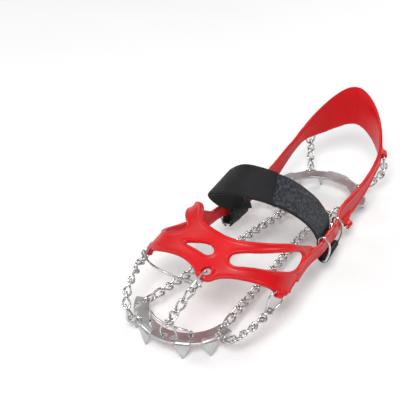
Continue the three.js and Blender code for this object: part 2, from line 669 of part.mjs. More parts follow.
// Staple-shaped ring: its straight bar lies under the plate, its legs pass up through two holes.
function toeRing(top) {
  const [a, b] = TOE_RING_HOLES.map((hole) => holeOf(FRONT_PLATE, hole, 1));
  const middle = a.clone().add(b).multiplyScalar(0.5);
  const foot = middle.clone().lerp(top, -2.35 / (top.z - middle.z));
  const half = foot.distanceTo(top) / 2;
  const wide = a.distanceTo(b) / 2;
  const outline = [
    [-half, 1 - wide], [0.7 - half, 0.2 - wide], [half - 3, -wide],
    [half - 1, 1.2 - wide], [half, 2.2 - wide], [half, wide - 2.2], [half - 1, wide - 1.2],
    [half - 3, wide], [0.7 - half, wide - 0.2], [-half, wide - 1],
  ];
  const face = top.clone().sub(foot).cross(b.clone().sub(a)).normalize();
  return flatLoop(outline).applyMatrix4(linkFrame(foot, top, face));
}

// Wire round the toe, hooked into the plate at both ends.
function toeBail() {
  const holes = [-1, 1].map((side) => holeOf(FRONT_PLATE, BAIL_HOLE, side));
  const out = holes[1].clone().sub(holes[0]).normalize();
  const end = (hole, side) => [
    hole.clone().addScaledVector(out, side * 4.5).setZ(-3.5),
    hole.clone().addScaledVector(out, side * 1.2).setZ(-3.4),
    hole.clone().setZ(-1.6), hole.clone().setZ(1.5),
  ];
  const arc = [vec(-25.5, -121.5, 7.5), vec(-15, -127.5, 10.5), vec(-3.5, -129.6, 11.6),
    vec(7, -127.6, 11), vec(13, -123.5, 8)];
  return wireAlong([...end(holes[0], -1), ...arc, ...end(holes[1], 1).reverse()], 34);
}

// Wire across the toe, from a hook on the inner chain ring to an eye of the centre connector.
function tieWire() {
  const { anchor, path, faces } = RUNS.front_left;
  const frame = linkFrame(anchor, path[0], faces[0].clone().normalize());
  const hook = [[2.6, 0.9, -2.4], [2.6, 1.4, 0.6], [2.6, 3.4, 2.5], [2.8, 5.8, 2.2]]
    .map((p) => vec(...p).applyMatrix4(frame));
  const over = [vec(-41, -100.5, 34.2), vec(-29, -107.5, 38.6), vec(-16, -111.5, 41.6),
    vec(-4, -112.8, 42.6), vec(6, -112.2, 43.4), vec(13.5, -112, 43.6), vec(15.5, -112, 42)];
  return wireAlong([...hook, ...over], 30);
}

// ---------------------------------------------------------------- assembly
addPart('harness', harness(), RED);
addPart('strap_base', strapBase(), LOOP_PILE);
addPart('strap_flap', strapFlap(), WEBBING);
addPart('strap_tip', strapTip(), WEBBING);
addPart('strap_ring_right', strapRing(1), STEEL);
addPart('strap_ring_left', strapRing(-1), STEEL);

const mirrored = ([radius, angle, size]) => [radius, -angle, size];
const bothSides = (holes) => [...holes, ...holes.map(mirrored)];
const frontHoles = [TOE_HOLE, ...bothSides([FLANK_HOLE, ARM_HOLE, BAIL_HOLE]), ...TOE_RING_HOLES];
addPart('front_plate', spikePlate(FRONT_PLATE, frontHoles), BRUSHED);
addPart('rear_plate', spikePlate(REAR_PLATE, bothSides([HEEL_HOLE, ARM_HOLE])), BRUSHED);

addCentreRun();
addPart('toe_bail', toeBail(), STEEL);
addPart('tie_wire', tieWire(), STEEL);
for (const [name, run] of Object.entries(RUNS)) addRun(name, run);

// Chains under the sole: one from each plate arm to the junction ring of its side.
const SOLE_RUNS = [
  ['arch_right', FRONT_PLATE, ARM_HOLE, 1, 'right', 16],
  ['arch_left', FRONT_PLATE, ARM_HOLE, -1, 'left', 17],
  ['heel_right', REAR_PLATE, ARM_HOLE, -1, 'right', 3],
  ['heel_left', REAR_PLATE, ARM_HOLE, 1, 'left', 3],
];
for (const [side, centre] of Object.entries(JUNCTIONS)) {
  const ring = new THREE.TorusGeometry((JUNCTION_SIZE - WIRE) / 2, WIRE / 2, 6, 16);
  addPart(`junction_${side}`, ring.translate(...centre.toArray()), STEEL);
}
for (const [name, plate, hole, side, junction, count] of SOLE_RUNS) {
  const from = holeOf(plate, hole, side);
  const centre = JUNCTIONS[junction];
  const direction = vec(centre.x - from.x, centre.y - from.y, 0).normalize();
  const start = from.clone().addScaledVector(direction, 9).setZ(-1.8);
  const finish = centre.clone().addScaledVector(direction, -JUNCTION_REACH);
  const ring = ovalRing(stepPast(from, start, EYE - OVERRUN), from, vec(0, 0, -1), PLATE_RING_WIDTH);
  addPart(`${name}_plate_ring`, ring, STEEL);
  addPart(`${name}_chain`, fusedChain(start, finish, count), STEEL);
}

// The finished part stands on its spikes, centred over the origin.
const extent = new THREE.Box3().setFromObject(assembly);
const middle = extent.getCenter(new THREE.Vector3());
assembly.position.set(-middle.x, -middle.y, -extent.min.z);
export default assembly;
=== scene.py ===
"""Looks of the shoe ice cleats: red harness, woven strap, bright chains and steel spike plates.

Shapes are laid out in the shoe's own axes in millimetres (toe towards -Y, outer side +X, Z = 0 on
the sole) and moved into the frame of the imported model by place().
"""
import math

import bmesh
import bpy
import numpy as np
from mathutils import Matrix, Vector, geometry


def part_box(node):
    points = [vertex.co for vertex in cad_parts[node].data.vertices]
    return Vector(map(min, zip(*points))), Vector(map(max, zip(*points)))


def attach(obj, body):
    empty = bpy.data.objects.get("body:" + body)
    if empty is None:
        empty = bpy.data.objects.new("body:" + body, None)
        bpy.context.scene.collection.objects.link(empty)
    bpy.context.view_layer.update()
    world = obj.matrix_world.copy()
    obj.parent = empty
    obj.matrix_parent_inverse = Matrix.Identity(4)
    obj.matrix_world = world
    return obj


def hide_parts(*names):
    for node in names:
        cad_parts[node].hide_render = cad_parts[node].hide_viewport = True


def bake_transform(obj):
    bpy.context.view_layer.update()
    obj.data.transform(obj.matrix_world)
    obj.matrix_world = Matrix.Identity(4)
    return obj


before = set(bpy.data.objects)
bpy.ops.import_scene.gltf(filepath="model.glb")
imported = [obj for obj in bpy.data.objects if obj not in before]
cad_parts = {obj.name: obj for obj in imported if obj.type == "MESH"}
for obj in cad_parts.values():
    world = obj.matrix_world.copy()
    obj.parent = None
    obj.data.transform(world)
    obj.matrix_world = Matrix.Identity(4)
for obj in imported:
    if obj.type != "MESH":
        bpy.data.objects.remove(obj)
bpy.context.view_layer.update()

MM = 0.001
ROOT = "harness_and_plates"

# The rear plate is centred on the shoe's axis, with its top on the sole.
REAR_EDGE_Y = 120
plate_low, plate_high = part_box("rear_plate")
SHIFT = np.array([
    (plate_low.x + plate_high.x) / 2 / MM,
    plate_high.y / MM - REAR_EDGE_Y,
    plate_high.z / MM,
])

# ---- sizes of the real piece, in mm
WEB_THICKNESS = 3.0
WEB_LIFT = 0.3
RAIL_THICKNESS = 3.4
VOXEL = 0.6             # grain of the fused harness
WIRE = 1.8
LINK_WIDTH = 7.2
PLATE_THICKNESS = 2.0
PLATE_EDGE = 0.35       # radius of its worn edges
PLATE_OUTER, PLATE_INNER = 43.0, 31.0
PLATE_HALF_ANGLE = 75
TOOTH_WIDTH = 11.0
TOOTH_ANGLES = (-50, -22, 22, 50)
SPIKE_REACH = 15.0
STRAP_WIDTH = 25.0
STRAP_THICKNESS = 1.6
STRAP_RING_Y = 15.0
WEAVE_ACROSS, WEAVE_ALONG = 1.4, 1.8

# Plan of the shoe: y, outer half width, inner half width.
PLAN = [
    (-133, -4, -12), (-129, 8, -25), (-122, 20, -36), (-113, 31, -43), (-103, 40, -48),
    (-90, 49, -51), (-72, 55, -52), (-55, 54, -49), (-28, 49, -41), (0, 43, -36), (38, 38, -35),
    (107, 37, -36), (118, 35.5, -34.5), (127, 31, -30.5), (135, 24.5, -24), (141, 16.5, -16),
    (144.7, 8, -8), (146, 0, 0),
]
# Upper of the shoe: y, height where it meets the sole, height and x of its ridge, roundness.
UPPER = [
    (-133, 20, 24, -6, 2.0), (-120, 20, 37, -2, 2.1), (-100, 22, 47, 3, 2.0), (-75, 24, 60, 6, 1.8),
    (-45, 26, 78, 6, 1.55), (-30, 26, 88, 5, 1.45), (0, 26, 106, 3, 1.45), (40, 26, 122, 0, 1.5),
]
HALF_SHEET = 60         # unrolled distance from the ridge down to the sole edge
WALL_TOP = 26           # height of the side wall beside the instep

# Outline of the front web and its windows in unrolled coordinates (u, y).
WEB_OUTLINE = [
    (13, -107.5), (17.5, -105), (18.5, -101), (24, -96), (33, -90), (43, -83), (50, -78.5),
    (57, -77), (62, -72), (63, -64), (62.5, -48), (66, -30), (68, -15), (63, -11), (57, -15),
    (53, -21), (46, -34), (40.5, -43), (30, -59), (17, -70.5), (7, -74), (-3, -73), (-11, -70),
    (-17, -64), (-21, -56), (-27, -50), (-37, -43), (-48, -33), (-57, -18), (-63, -12), (-68, -15),
    (-66, -30), (-62.5, -48), (-62, -64), (-59, -72), (-52, -80), (-44, -90), (-32, -95.5),
    (-20, -96.5), (-9, -98), (0, -102), (6, -107),
]
WEB_WINDOWS = [
    [(16, -87.5), (14.5, -83), (19, -78), (29, -69), (41, -52), (49, -36), (54, -31.5), (56, -35),
     (55.5, -46), (49, -59), (38, -72.5), (26, -83), (20, -88)],
    [(-15.5, -87), (-11, -86), (-3, -83.5), (3, -84.5), (5, -88.5), (1.5, -91), (-5, -89.5)],
    [(-21, -73), (-20.5, -77), (-27, -80), (-38, -76), (-48, -63), (-54, -48), (-55, -34),
     (-50, -33), (-42, -46), (-34, -58), (-27, -67)],
]
EYELET = (9.5, -100.5)
EYELET_HOLE = 5.0
EYELET_RIM = 9.6
# Side rail: y, bottom and top edge above the sole, clearance to the shoe.
RAIL = [
    (-50, 20, 29, 0.6), (-25, 16, 27.5, 0.8), (-6, 13, 24.5, 4.6), (12, 9, 22.5, 4.7),
    (30, 7, 21.5, 4.6), (46, 5, 22, 0.8), (66, 5, 24, 0.6), (80, 9, 25, 0.6), (93, 14, 27.5, 0.6),
    (107, 20, 31, 0.6), (118, 23, 37, 0.6), (127, 24, 46, 0.7), (135, 26, 56, 0.8),
    (141, 30, 65, 0.9), (144.7, 34, 71, 0.9), (146, 36, 73, 0.9),
]
BARREL, BARREL_WIDTH, BORE = 5.6, 6.6, 2.7

# Centre and yaw of each plate; holes are given by radius, angle and diameter.
FRONT_PLATE = ((-10, -92, 0), 4.2)
REAR_PLATE = ((0, 77, 0), 180)
ARM_HOLE, HEEL_HOLE, FLANK_HOLE = (35.5, 68.5, 3.8), (39.5, 37, 3.8), (39.5, 61.5, 3.8)
TOE_HOLE, BAIL_HOLE = (39.5, -37, 3.8), (34, 31, 3.6)
TOE_RING_HOLES = [(38.3, 1.2, 3.8), (38.3, 11.4, 3.8)]

# Chain runs: barrel centre, touch points of the links, faces at both ends, hole it ends in.
RUNS = {
    "front_right": (
        (57.4, -77, 29.5),
        [(54.3, -84, 18), (52.6, -91.7, 14.5), (50.5, -100, 12.6), (45.6, -106.8, 8.5),
         (40.1, -109.4, 2.6), (32.2, -109.3, -1)],
        [(0.8, -0.57, -0.09), (-0.08, -0.17, -1.12)], (FRONT_PLATE, FLANK_HOLE, 1)),
    "front_left": (
        (-55.5, -80, 24),
        [(-53, -94.5, 24.5), (-50.7, -103.7, 22.9), (-49, -112.7, 19.8), (-46.7, -120.8, 14.4),
         (-43.2, -126.6, 7.8), (-39.8, -127.5, -0.7)],
        [(-1.3, -0.58, 0.44), (-0.48, -0.11, -1.09)], (FRONT_PLATE, TOE_HOLE, 1)),
    "mid_right": (
        (44, 54, 3), [(36.4, 54, -3), (27, 54, -3.1), (18.1, 54, -3)],
        [(0.75, 0, -0.65), (0, 0, -1)], None),
    "mid_left": (
        (-42, 54, 3), [(-34.4, 54, -3), (-25, 54, -3.1), (-16.1, 54, -3)],
        [(-0.75, 0, -0.65), (0, 0, -1)], None),
    "rear_right": (
        (37, 128.5, 28),
        [(36.8, 131, 16), (36.5, 129.3, 7.6), (32.1, 125.5, 1.2), (27.9, 119, -2.1)],
        [(1.04, 0.65, -0.16), (-0.42, 0.03, -0.8)], (REAR_PLATE, HEEL_HOLE, -1)),
    "rear_left": (
        (-36.5, 128.5, 28),
        [(-36.3, 131, 16), (-35.2, 129.7, 7.8), (-32.8, 125.4, 1.2), (-28.8, 118.9, -2.2)],
        [(-0.95, 0.62, -0.16), (-0.36, -0.1, -1.04)], (REAR_PLATE, HEEL_HOLE, 1)),
}


# ---- small helpers
def place(points):
    """Points in the shoe's axes, in mm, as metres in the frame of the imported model."""
    return (np.asarray(points, float) + SHIFT) * MM


def unit(v):
    """Directions of one or many vectors."""
    v = np.asarray(v, float)
    return v / np.maximum(np.linalg.norm(v, axis=-1, keepdims=True), 1e-9)


def mesh_object(name, skin):
    """Mesh object from a skin: its points in the shoe's axes, in mm, and its faces."""
    points, faces = skin
    mesh = bpy.data.meshes.new(name)
    mesh.from_pydata(place(points).tolist(), [], [list(map(int, face)) for face in faces])
    mesh.validate()
    mesh.update()
    made = bpy.data.objects.new(name, mesh)
    bpy.context.scene.collection.objects.link(made)
    outward(mesh)
    mesh.shade_smooth()
    return made


def outward(mesh):
    """Turns all faces of a mesh to the outside."""
    shape = bmesh.new()
    shape.from_mesh(mesh)
    bmesh.ops.recalc_face_normals(shape, faces=shape.faces)
    shape.to_mesh(mesh)
    shape.free()


def baked(made):
    """The object with its modifiers applied."""
    depsgraph = bpy.context.evaluated_depsgraph_get()
    mesh = bpy.data.meshes.new_from_object(made.evaluated_get(depsgraph))
    made.modifiers.clear()
    made.data = mesh
    mesh.shade_smooth()
    return made


def finished(made, material, body, replaced=()):
    """Gives a piece its material and body, and hides the CAD nodes it stands for."""
    made.data.materials.clear()
    made.data.materials.append(material)
    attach(made, body)
    if replaced:
        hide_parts(*replaced)
    return made


def merged(skins):
    """One (points, faces) skin out of several."""
    points, faces, first = [], [], 0
    for skin, skin_faces in skins:
        points.append(skin)
        faces += [tuple(first + k for k in face) for face in skin_faces]
        first += len(skin)
    return np.vstack(points), faces


def turned(points, degrees):
    """Points turned about the vertical axis."""
    c, s = math.cos(math.radians(degrees)), math.sin(math.radians(degrees))
    return np.asarray(points) @ np.array([[c, s, 0], [-s, c, 0], [0, 0, 1]])


def smooth_rows(table, y):
    """Values of a table at the keys y, on a smooth curve through its rows."""
    rows = np.array(table, float)
    keys, values = rows[:, 0], rows[:, 1:]
    slopes = np.gradient(values, keys, axis=0)
    y = np.clip(np.asarray(y, float), keys[0], keys[-1])
    i = np.clip(np.searchsorted(keys, y) - 1, 0, len(keys) - 2)
    h = (keys[i + 1] - keys[i])[..., None]
    t = (y - keys[i])[..., None] / h
    return ((2 * t**3 - 3 * t**2 + 1) * values[i] + (t**3 - 2 * t**2 + t) * h * slopes[i]
            + (3 * t**2 - 2 * t**3) * values[i + 1] + (t**3 - t**2) * h * slopes[i + 1])


def lengths_along(points):
    """Distance of each point from the first one, along a row of points."""
    steps = np.linalg.norm(np.diff(points, axis=0), axis=1)
    return np.concatenate([[0], np.cumsum(steps)])


def smooth_path(points, spacing, extras=None):
    """Points along a smooth curve through the given ones, with extra columns carried along."""
    points = np.asarray(points, float)
    rows = points if extras is None else np.hstack([points, np.asarray(extras, float)])
    keys = lengths_along(points)
    count = max(2, int(round(keys[-1] / spacing)) + 1)
    where = np.linspace(0, keys[-1], count)
    return smooth_rows(np.column_stack([keys, rows]), where)


def tangents(points):
    """Directions along a row of points."""
    return unit(np.gradient(points, axis=0))


# ---- the shoe
def shoe_point(u, y):
    """Points on the shoe from unrolled coordinates: across from its ridge, and along it."""
    outer, inner = np.moveaxis(smooth_rows(PLAN, y), -1, 0)
    base, ridge, ridge_x, roundness = np.moveaxis(smooth_rows(UPPER, y), -1, 0)
    side = np.where(u >= 0, outer, inner)
    share = np.abs(u) / HALF_SHEET
    angle = np.minimum(share, 1) * np.pi / 2
    across = np.sin(angle) ** (2 / roundness)
    rise = np.maximum(np.cos(angle), 0) ** (2 / roundness)
    x = ridge_x + (side - ridge_x) * across
    z = base + (ridge - base) * rise - np.maximum(share - 1, 0) * HALF_SHEET
    return np.stack([x, y, z], -1)


def on_shoe(u, y, lift):
    """Points at a distance from the shoe, and the outward directions there."""
    u, y = np.broadcast_arrays(np.asarray(u, float), np.asarray(y, float))
    step = 1.2
    du = shoe_point(u + step, y) - shoe_point(u - step, y)
    dy = shoe_point(u, y + step) - shoe_point(u, y - step)
    normal = unit(np.cross(du, dy))
    return shoe_point(u, y) + normal * np.asarray(lift, float)[..., None], normal


def on_wall(side, y, z, out):
    """Point on the side wall: height above the sole, distance out from the shoe."""
    return on_shoe(side * (HALF_SHEET + WALL_TOP - z), y, out)[0]


# ---- flat shapes made thick
def rounded_loop(corners, spacing, passes=3):
    """Closed outline with its corners cut, as evenly spaced points."""
    loop = np.asarray(corners, float)
    for _ in range(passes):
        ahead = np.roll(loop, -1, axis=0)
        loop = np.stack([0.75 * loop + 0.25 * ahead, 0.25 * loop + 0.75 * ahead], 1).reshape(-1, 2)
    return spaced_loop(loop, spacing)


def spaced_loop(loop, spacing):
    """Evenly spaced points along a closed outline."""
    closed = np.vstack([loop, loop[:1]])
    keys = lengths_along(closed)
    count = int(round(keys[-1] / spacing))
    where = np.linspace(0, keys[-1], count, endpoint=False)
    return np.column_stack([np.interp(where, keys, closed[:, k]) for k in range(2)])


def circle_loop(centre, diameter, count):
    turn = np.linspace(0, 2 * np.pi, count, endpoint=False)
    return np.column_stack([np.cos(turn), np.sin(turn)]) * diameter / 2 + centre


def parts_of(points):
    """Slices that cut a long row of points into short ones, to save memory."""
    return [slice(first, first + 500) for first in range(0, len(points), 500)]


def edge_distance(points, loops):
    """Distance from each point to the nearest outline."""
    starts = np.vstack(loops)
    ends = np.vstack([np.roll(loop, -1, axis=0) for loop in loops])
    way = ends - starts
    length = np.maximum((way**2).sum(1), 1e-9)
    nearest = np.full(len(points), np.inf)
    for part in parts_of(points):
        offset = points[part, None] - starts
        t = np.clip((offset * way).sum(2) / length, 0, 1)
        gap = np.linalg.norm(offset - t[..., None] * way, axis=2)
        nearest[part] = gap.min(1)
    return nearest


def inside(points, loops):
    """Whether each point is inside the outline and outside its holes."""
    crossings = np.zeros(len(points), int)
    for loop in loops:
        x0, y0 = loop.T
        x1, y1 = np.roll(loop, -1, axis=0).T
        for part in parts_of(points):
            px, py = points[part, 0, None], points[part, 1, None]
            spans = (y0 > py) != (y1 > py)
            rise = np.where(y1 == y0, 1, y1 - y0)
            crossings[part] += (spans & (px < x0 + (py - y0) * (x1 - x0) / rise)).sum(1)
    return crossings % 2 == 1


def sheet_points(loops, offsets, grid):
    """Points of a flat shape: its outlines, rows at some distances inside them, and a grid."""
    rows = [np.vstack(loops)]
    for loop in loops:
        along = np.roll(loop, -1, axis=0) - np.roll(loop, 1, axis=0)
        normal = unit(np.column_stack([-along[:, 1], along[:, 0]]))
        if not inside(loop[:1] + normal[:1] * 0.1, loops)[0]:
            normal = -normal
        for offset in offsets:
            ring = loop + normal * offset
            rows.append(ring[edge_distance(ring, loops) > 0.93 * offset])
    low, high = rows[0].min(0), rows[0].max(0)
    xs = np.arange(low[0], high[0], grid)
    ys = np.arange(low[1], high[1], grid * 0.866)
    field = np.array([(x + grid / 2 * (j % 2), y) for j, y in enumerate(ys) for x in xs])
    field = field[inside(field, loops)]
    rows.append(field[edge_distance(field, loops) > offsets[-1] + 0.6 * grid])
    return np.vstack(rows)


def thick_sheet(loops, offsets, grid, top, bottom):
    """Skin of a flat shape: (plan points, heights, faces).  top and bottom give heights from the
    distance to the edge and the plan points, and meet at the edge itself."""
    points = sheet_points(loops, offsets, grid)
    edges, first = [], 0
    for loop in loops:
        edges += [(first + i, first + (i + 1) % len(loop)) for i in range(len(loop))]
        first += len(loop)
    plan, _, faces, *_ = geometry.delaunay_2d_cdt([Vector(p) for p in points], edges, [], 0, 1e-6)
    plan = np.array(plan)
    faces = np.array(faces)
    faces = faces[inside(plan[faces].mean(1), loops)]
    gap = edge_distance(plan, loops)
    rim = gap < 1e-4
    below = np.arange(len(plan))
    below[~rim] = len(plan) + np.arange((~rim).sum())
    both = np.vstack([plan, plan[~rim]])
    heights = np.concatenate([top(gap, plan), bottom(gap[~rim], plan[~rim])])
    return both, heights, np.vstack([faces, below[faces][:, ::-1]])


def quarter_round(gap, radius, rise):
    """Height of a rounded edge at a distance from it."""
    t = 1 - np.clip(gap / radius, 0, 1)
    return rise * np.sqrt(1 - t**2)


# ---- lofts
def loft(sections, closed=False):
    """(points, faces) of the skin through rows of sections, capped unless it closes on itself."""
    sections = np.asarray(sections, float)
    count, size = sections.shape[:2]
    faces = []
    for i in range(count if closed else count - 1):
        here, ahead = i * size, ((i + 1) % count) * size
        faces += [(here + k, here + (k + 1) % size, ahead + (k + 1) % size, ahead + k)
                  for k in range(size)]
    if not closed:
        faces += [tuple(range(size))[::-1], tuple((count - 1) * size + k for k in range(size))]
    return sections.reshape(-1, 3), faces


def rounded_section(width, height, radius, corner_steps=4):
    """Corners-rounded rectangle as (across, out) points round its centre."""
    points = []
    for cx, cy, start in ((1, 1, 0), (-1, 1, 90), (-1, -1, 180), (1, -1, 270)):
        for k in range(corner_steps + 1):
            turn = math.radians(start + 90 * k / corner_steps)
            points.append((cx * (width / 2 - radius) + radius * math.cos(turn),
                           cy * (height / 2 - radius) + radius * math.sin(turn)))
    return np.array(points)


def round_sections(path, radius, flat, other, sides=12):
    """Circles round the points of a path, in the plane of two directions at each point."""
    turn = np.linspace(0, 2 * np.pi, sides, endpoint=False)[:, None]
    radii = np.broadcast_to(radius, len(path))[:, None, None]
    return path[:, None] + radii * (np.cos(turn) * flat[:, None] + np.sin(turn) * other[:, None])


def tube(points, radius, sides=12):
    """Sections of a round tube along a row of points."""
    along = tangents(points)
    flat = [unit(np.cross(along[0], [0.3, 0.2, 1]))]
    for way in along[1:]:
        flat.append(unit(flat[-1] - flat[-1] @ way * way))
    flat = np.array(flat)
    return round_sections(points, radius, flat, np.cross(along, flat), sides)


# ---- materials
class Nodes:
    """Short way to wire up the nodes of a material or a world that lead to a main shader."""

    def __init__(self, owner, main, **values):
        owner.use_nodes = True
        self.tree = owner.node_tree
        self.main = self.tree.nodes[main]
        self.fill(self.main, values)

    def fill(self, node, settings):
        """Each setting is a property of the node, or else a value or a link for its socket."""
        for key, value in settings.items():
            if hasattr(node, key):
                setattr(node, key, value)
                continue
            socket = node.inputs[key.replace("_", " ")]
            if isinstance(value, bpy.types.NodeSocket):
                self.link(value, socket)
            else:
                socket.default_value = value

    def node(self, kind, **settings):
        made = self.tree.nodes.new(kind)
        self.fill(made, settings)
        return made

    def link(self, out, into):
        self.tree.links.new(out, into)

    def feed(self, socket, out):
        """Links a value to an input of the main shader."""
        self.link(out, self.main.inputs[socket])

    def coordinates(self, scale=(1, 1, 1)):
        source = self.node("ShaderNodeTexCoord").outputs["Object"]
        return self.node("ShaderNodeMapping", Vector=source, Scale=scale).outputs["Vector"]

    def noise(self, vector, scale, detail=4, roughness=0.5):
        return self.node("ShaderNodeTexNoise", Vector=vector, Scale=scale, Detail=detail,
                         Roughness=roughness).outputs["Fac"]

    def ramp(self, value, stops):
        """Colour ramp from (position, colour) stops."""
        made = self.node("ShaderNodeValToRGB")
        made.color_ramp.elements[0].position = stops[0][0]
        made.color_ramp.elements[0].color = (*stops[0][1], 1)
        made.color_ramp.elements[1].position = stops[-1][0]
        made.color_ramp.elements[1].color = (*stops[-1][1], 1)
        for position, colour in stops[1:-1]:
            made.color_ramp.elements.new(position).color = (*colour, 1)
        self.link(value, made.inputs["Fac"])
        return made.outputs["Color"]

    def between(self, value, low, high):
        return self.node("ShaderNodeMapRange", Value=value, To_Min=low,
                         To_Max=high).outputs["Result"]

    def math(self, operation, a, b):
        made = self.node("ShaderNodeMath", operation=operation)
        for socket, value in zip(made.inputs, (a, b)):
            if isinstance(value, (int, float)):
                socket.default_value = value
            else:
                self.link(value, socket)
        return made.outputs["Value"]

    def bump(self, height, strength, distance):
        made = self.node("ShaderNodeBump", Height=height, Strength=strength, Distance=distance)
        self.feed("Normal", made.outputs["Normal"])


class Shader(Nodes):
    """Nodes of a new Principled material."""

    def __init__(self, name, **values):
        self.material = bpy.data.materials.new(name)
        super().__init__(self.material, "Principled BSDF", **values)


def elastomer():
    """Satin moulded elastomer: even red, a fine moulded grain and paler rubbed patches."""
    s = Shader("red_elastomer", Specular_IOR_Level=0.3, Coat_Weight=0.05, Coat_Roughness=0.25)
    where = s.coordinates()
    broad = s.noise(where, 35)
    grain = s.noise(where, 1800, detail=2)
    s.feed("Base Color", s.ramp(broad, [(0.3, (0.5, 0.0, 0.002)), (0.55, (0.57, 0.0, 0.003)),
                                        (0.8, (0.63, 0.002, 0.005))]))
    s.feed("Roughness", s.between(broad, 0.3, 0.48))
    s.bump(grain, 0.25, 0.00012)
    return s.material


def bright_steel():
    """Polished stainless wire with drawing marks and a faint haze."""
    s = Shader("bright_steel", Metallic=1.0)
    where = s.coordinates()
    haze = s.noise(where, 260)
    marks = s.noise(where, 2600, detail=3)
    s.feed("Base Color", s.ramp(haze, [(0.25, (0.47, 0.47, 0.465)), (0.75, (0.68, 0.675, 0.665))]))
    s.feed("Roughness", s.between(haze, 0.1, 0.28))
    s.bump(marks, 0.12, 0.00006)
    return s.material


def plate_steel():
    """Stamped sheet with a fine grain along its length and darker scuffs."""
    s = Shader("plate_steel", Metallic=1.0, Anisotropic=0.5)
    grain = s.noise(s.coordinates(scale=(1, 26, 26)), 90, detail=6, roughness=0.7)
    scuffs = s.noise(s.coordinates(), 55, detail=5, roughness=0.65)
    s.feed("Base Color", s.ramp(scuffs, [(0.3, (0.4, 0.405, 0.41)), (0.5, (0.56, 0.56, 0.56)),
                                         (0.75, (0.68, 0.68, 0.675))]))
    s.feed("Roughness", s.between(grain, 0.24, 0.5))
    s.bump(grain, 0.3, 0.00008)
    return s.material


def weave_height(s):
    """Height of a plain weave, from UV coordinates in mm."""
    source = s.node("ShaderNodeTexCoord").outputs["UV"]
    split = s.node("ShaderNodeSeparateXYZ", Vector=source)
    u = s.math("MULTIPLY", split.outputs["X"], 2 * math.pi / WEAVE_ACROSS)
    v = s.math("MULTIPLY", split.outputs["Y"], 2 * math.pi / WEAVE_ALONG)
    return s.math("MULTIPLY", s.math("SINE", u, 0), s.math("SINE", v, 0))


def webbing():
    """Black woven webbing: tight plain weave with a low sheen."""
    s = Shader("black_webbing", Sheen_Weight=0.02, Sheen_Roughness=0.4, Specular_IOR_Level=0.2)
    where = s.coordinates()
    fibre = s.noise(where, 1500, detail=3)
    s.feed("Base Color", s.ramp(s.noise(where, 60), [(0.3, (0.007, 0.007, 0.008)),
                                                     (0.7, (0.014, 0.014, 0.016))]))
    s.feed("Roughness", s.between(fibre, 0.5, 0.75))
    s.bump(s.math("ADD", weave_height(s), s.math("MULTIPLY", fibre, 0.6)), 0.6, 0.00022)
    return s.material


def loop_pile():
    """Brushed loop pile on its outer face between woven black ends."""
    s = Shader("loop_pile", Sheen_Weight=0.06, Sheen_Roughness=0.5, Specular_IOR_Level=0.1)
    where = s.coordinates()
    fuzz = s.noise(where, 1500, detail=8, roughness=0.8)
    tufts = s.noise(where, 420, detail=5, roughness=0.7)
    pile = s.node("ShaderNodeAttribute", attribute_name="pile")
    grey = s.ramp(s.math("ADD", s.math("MULTIPLY", fuzz, 0.65), s.math("MULTIPLY", tufts, 0.35)),
                  [(0.4, (0.006, 0.007, 0.009)), (0.5, (0.026, 0.028, 0.034)),
                   (0.6, (0.13, 0.135, 0.155))])
    mix = s.node("ShaderNodeMix", data_type="RGBA")
    s.link(pile.outputs["Fac"], mix.inputs[0])
    mix.inputs[6].default_value = (0.016, 0.016, 0.018, 1)
    s.link(grey, mix.inputs[7])
    s.feed("Base Color", mix.outputs[2])
    s.feed("Roughness", s.between(fuzz, 0.75, 1.0))
    woven = s.math("MULTIPLY", weave_height(s), s.math("SUBTRACT", 1, pile.outputs["Fac"]))
    hairy = s.math("MULTIPLY", s.math("MULTIPLY", fuzz, 3), pile.outputs["Fac"])
    s.bump(s.math("ADD", woven, hairy), 0.7, 0.0002)
    return s.material


def thread():
    """Twisted polyester sewing thread."""
    s = Shader("black_thread", Sheen_Weight=0.4, Specular_IOR_Level=0.5)
    strands = s.noise(s.coordinates(), 4000, detail=2)
    s.feed("Base Color", s.ramp(strands, [(0.3, (0.02, 0.02, 0.022)), (0.7, (0.06, 0.06, 0.065))]))
    s.feed("Roughness", s.between(strands, 0.4, 0.6))
    s.bump(strands, 0.4, 0.0001)
    return s.material


RED, STEEL, BRUSHED = elastomer(), bright_steel(), plate_steel()
WOVEN, PILE, THREAD = webbing(), loop_pile(), thread()


# ---- harness
def web_skin():
    """Web draped on the shoe, with beads along its edges and round the eyelet."""
    loops = [rounded_loop(WEB_OUTLINE, 1.0)]
    loops += [rounded_loop(window, 0.8, 2) for window in WEB_WINDOWS]
    loops.append(circle_loop(EYELET, EYELET_HOLE, 30))

    def top(gap, plan):
        bead = 1.15 * np.exp(-(((gap - 1.4) / 0.65) ** 2))
        radius = np.linalg.norm(plan - EYELET, axis=1)
        rim = 0.75 * np.exp(-(((radius - 0.4 * EYELET_RIM) / 0.8) ** 2))
        return WEB_THICKNESS / 2 + quarter_round(gap, 1.2, WEB_THICKNESS / 2 - 0.3) + bead + rim

    def bottom(gap, _plan):
        return WEB_THICKNESS / 2 - quarter_round(gap, 0.9, WEB_THICKNESS / 2)

    plan, heights, faces = thick_sheet(loops, (0.3, 0.7, 1.2, 1.8, 2.5), 1.7, top, bottom)
    return on_shoe(plan[:, 0], plan[:, 1], WEB_LIFT + heights)[0], faces


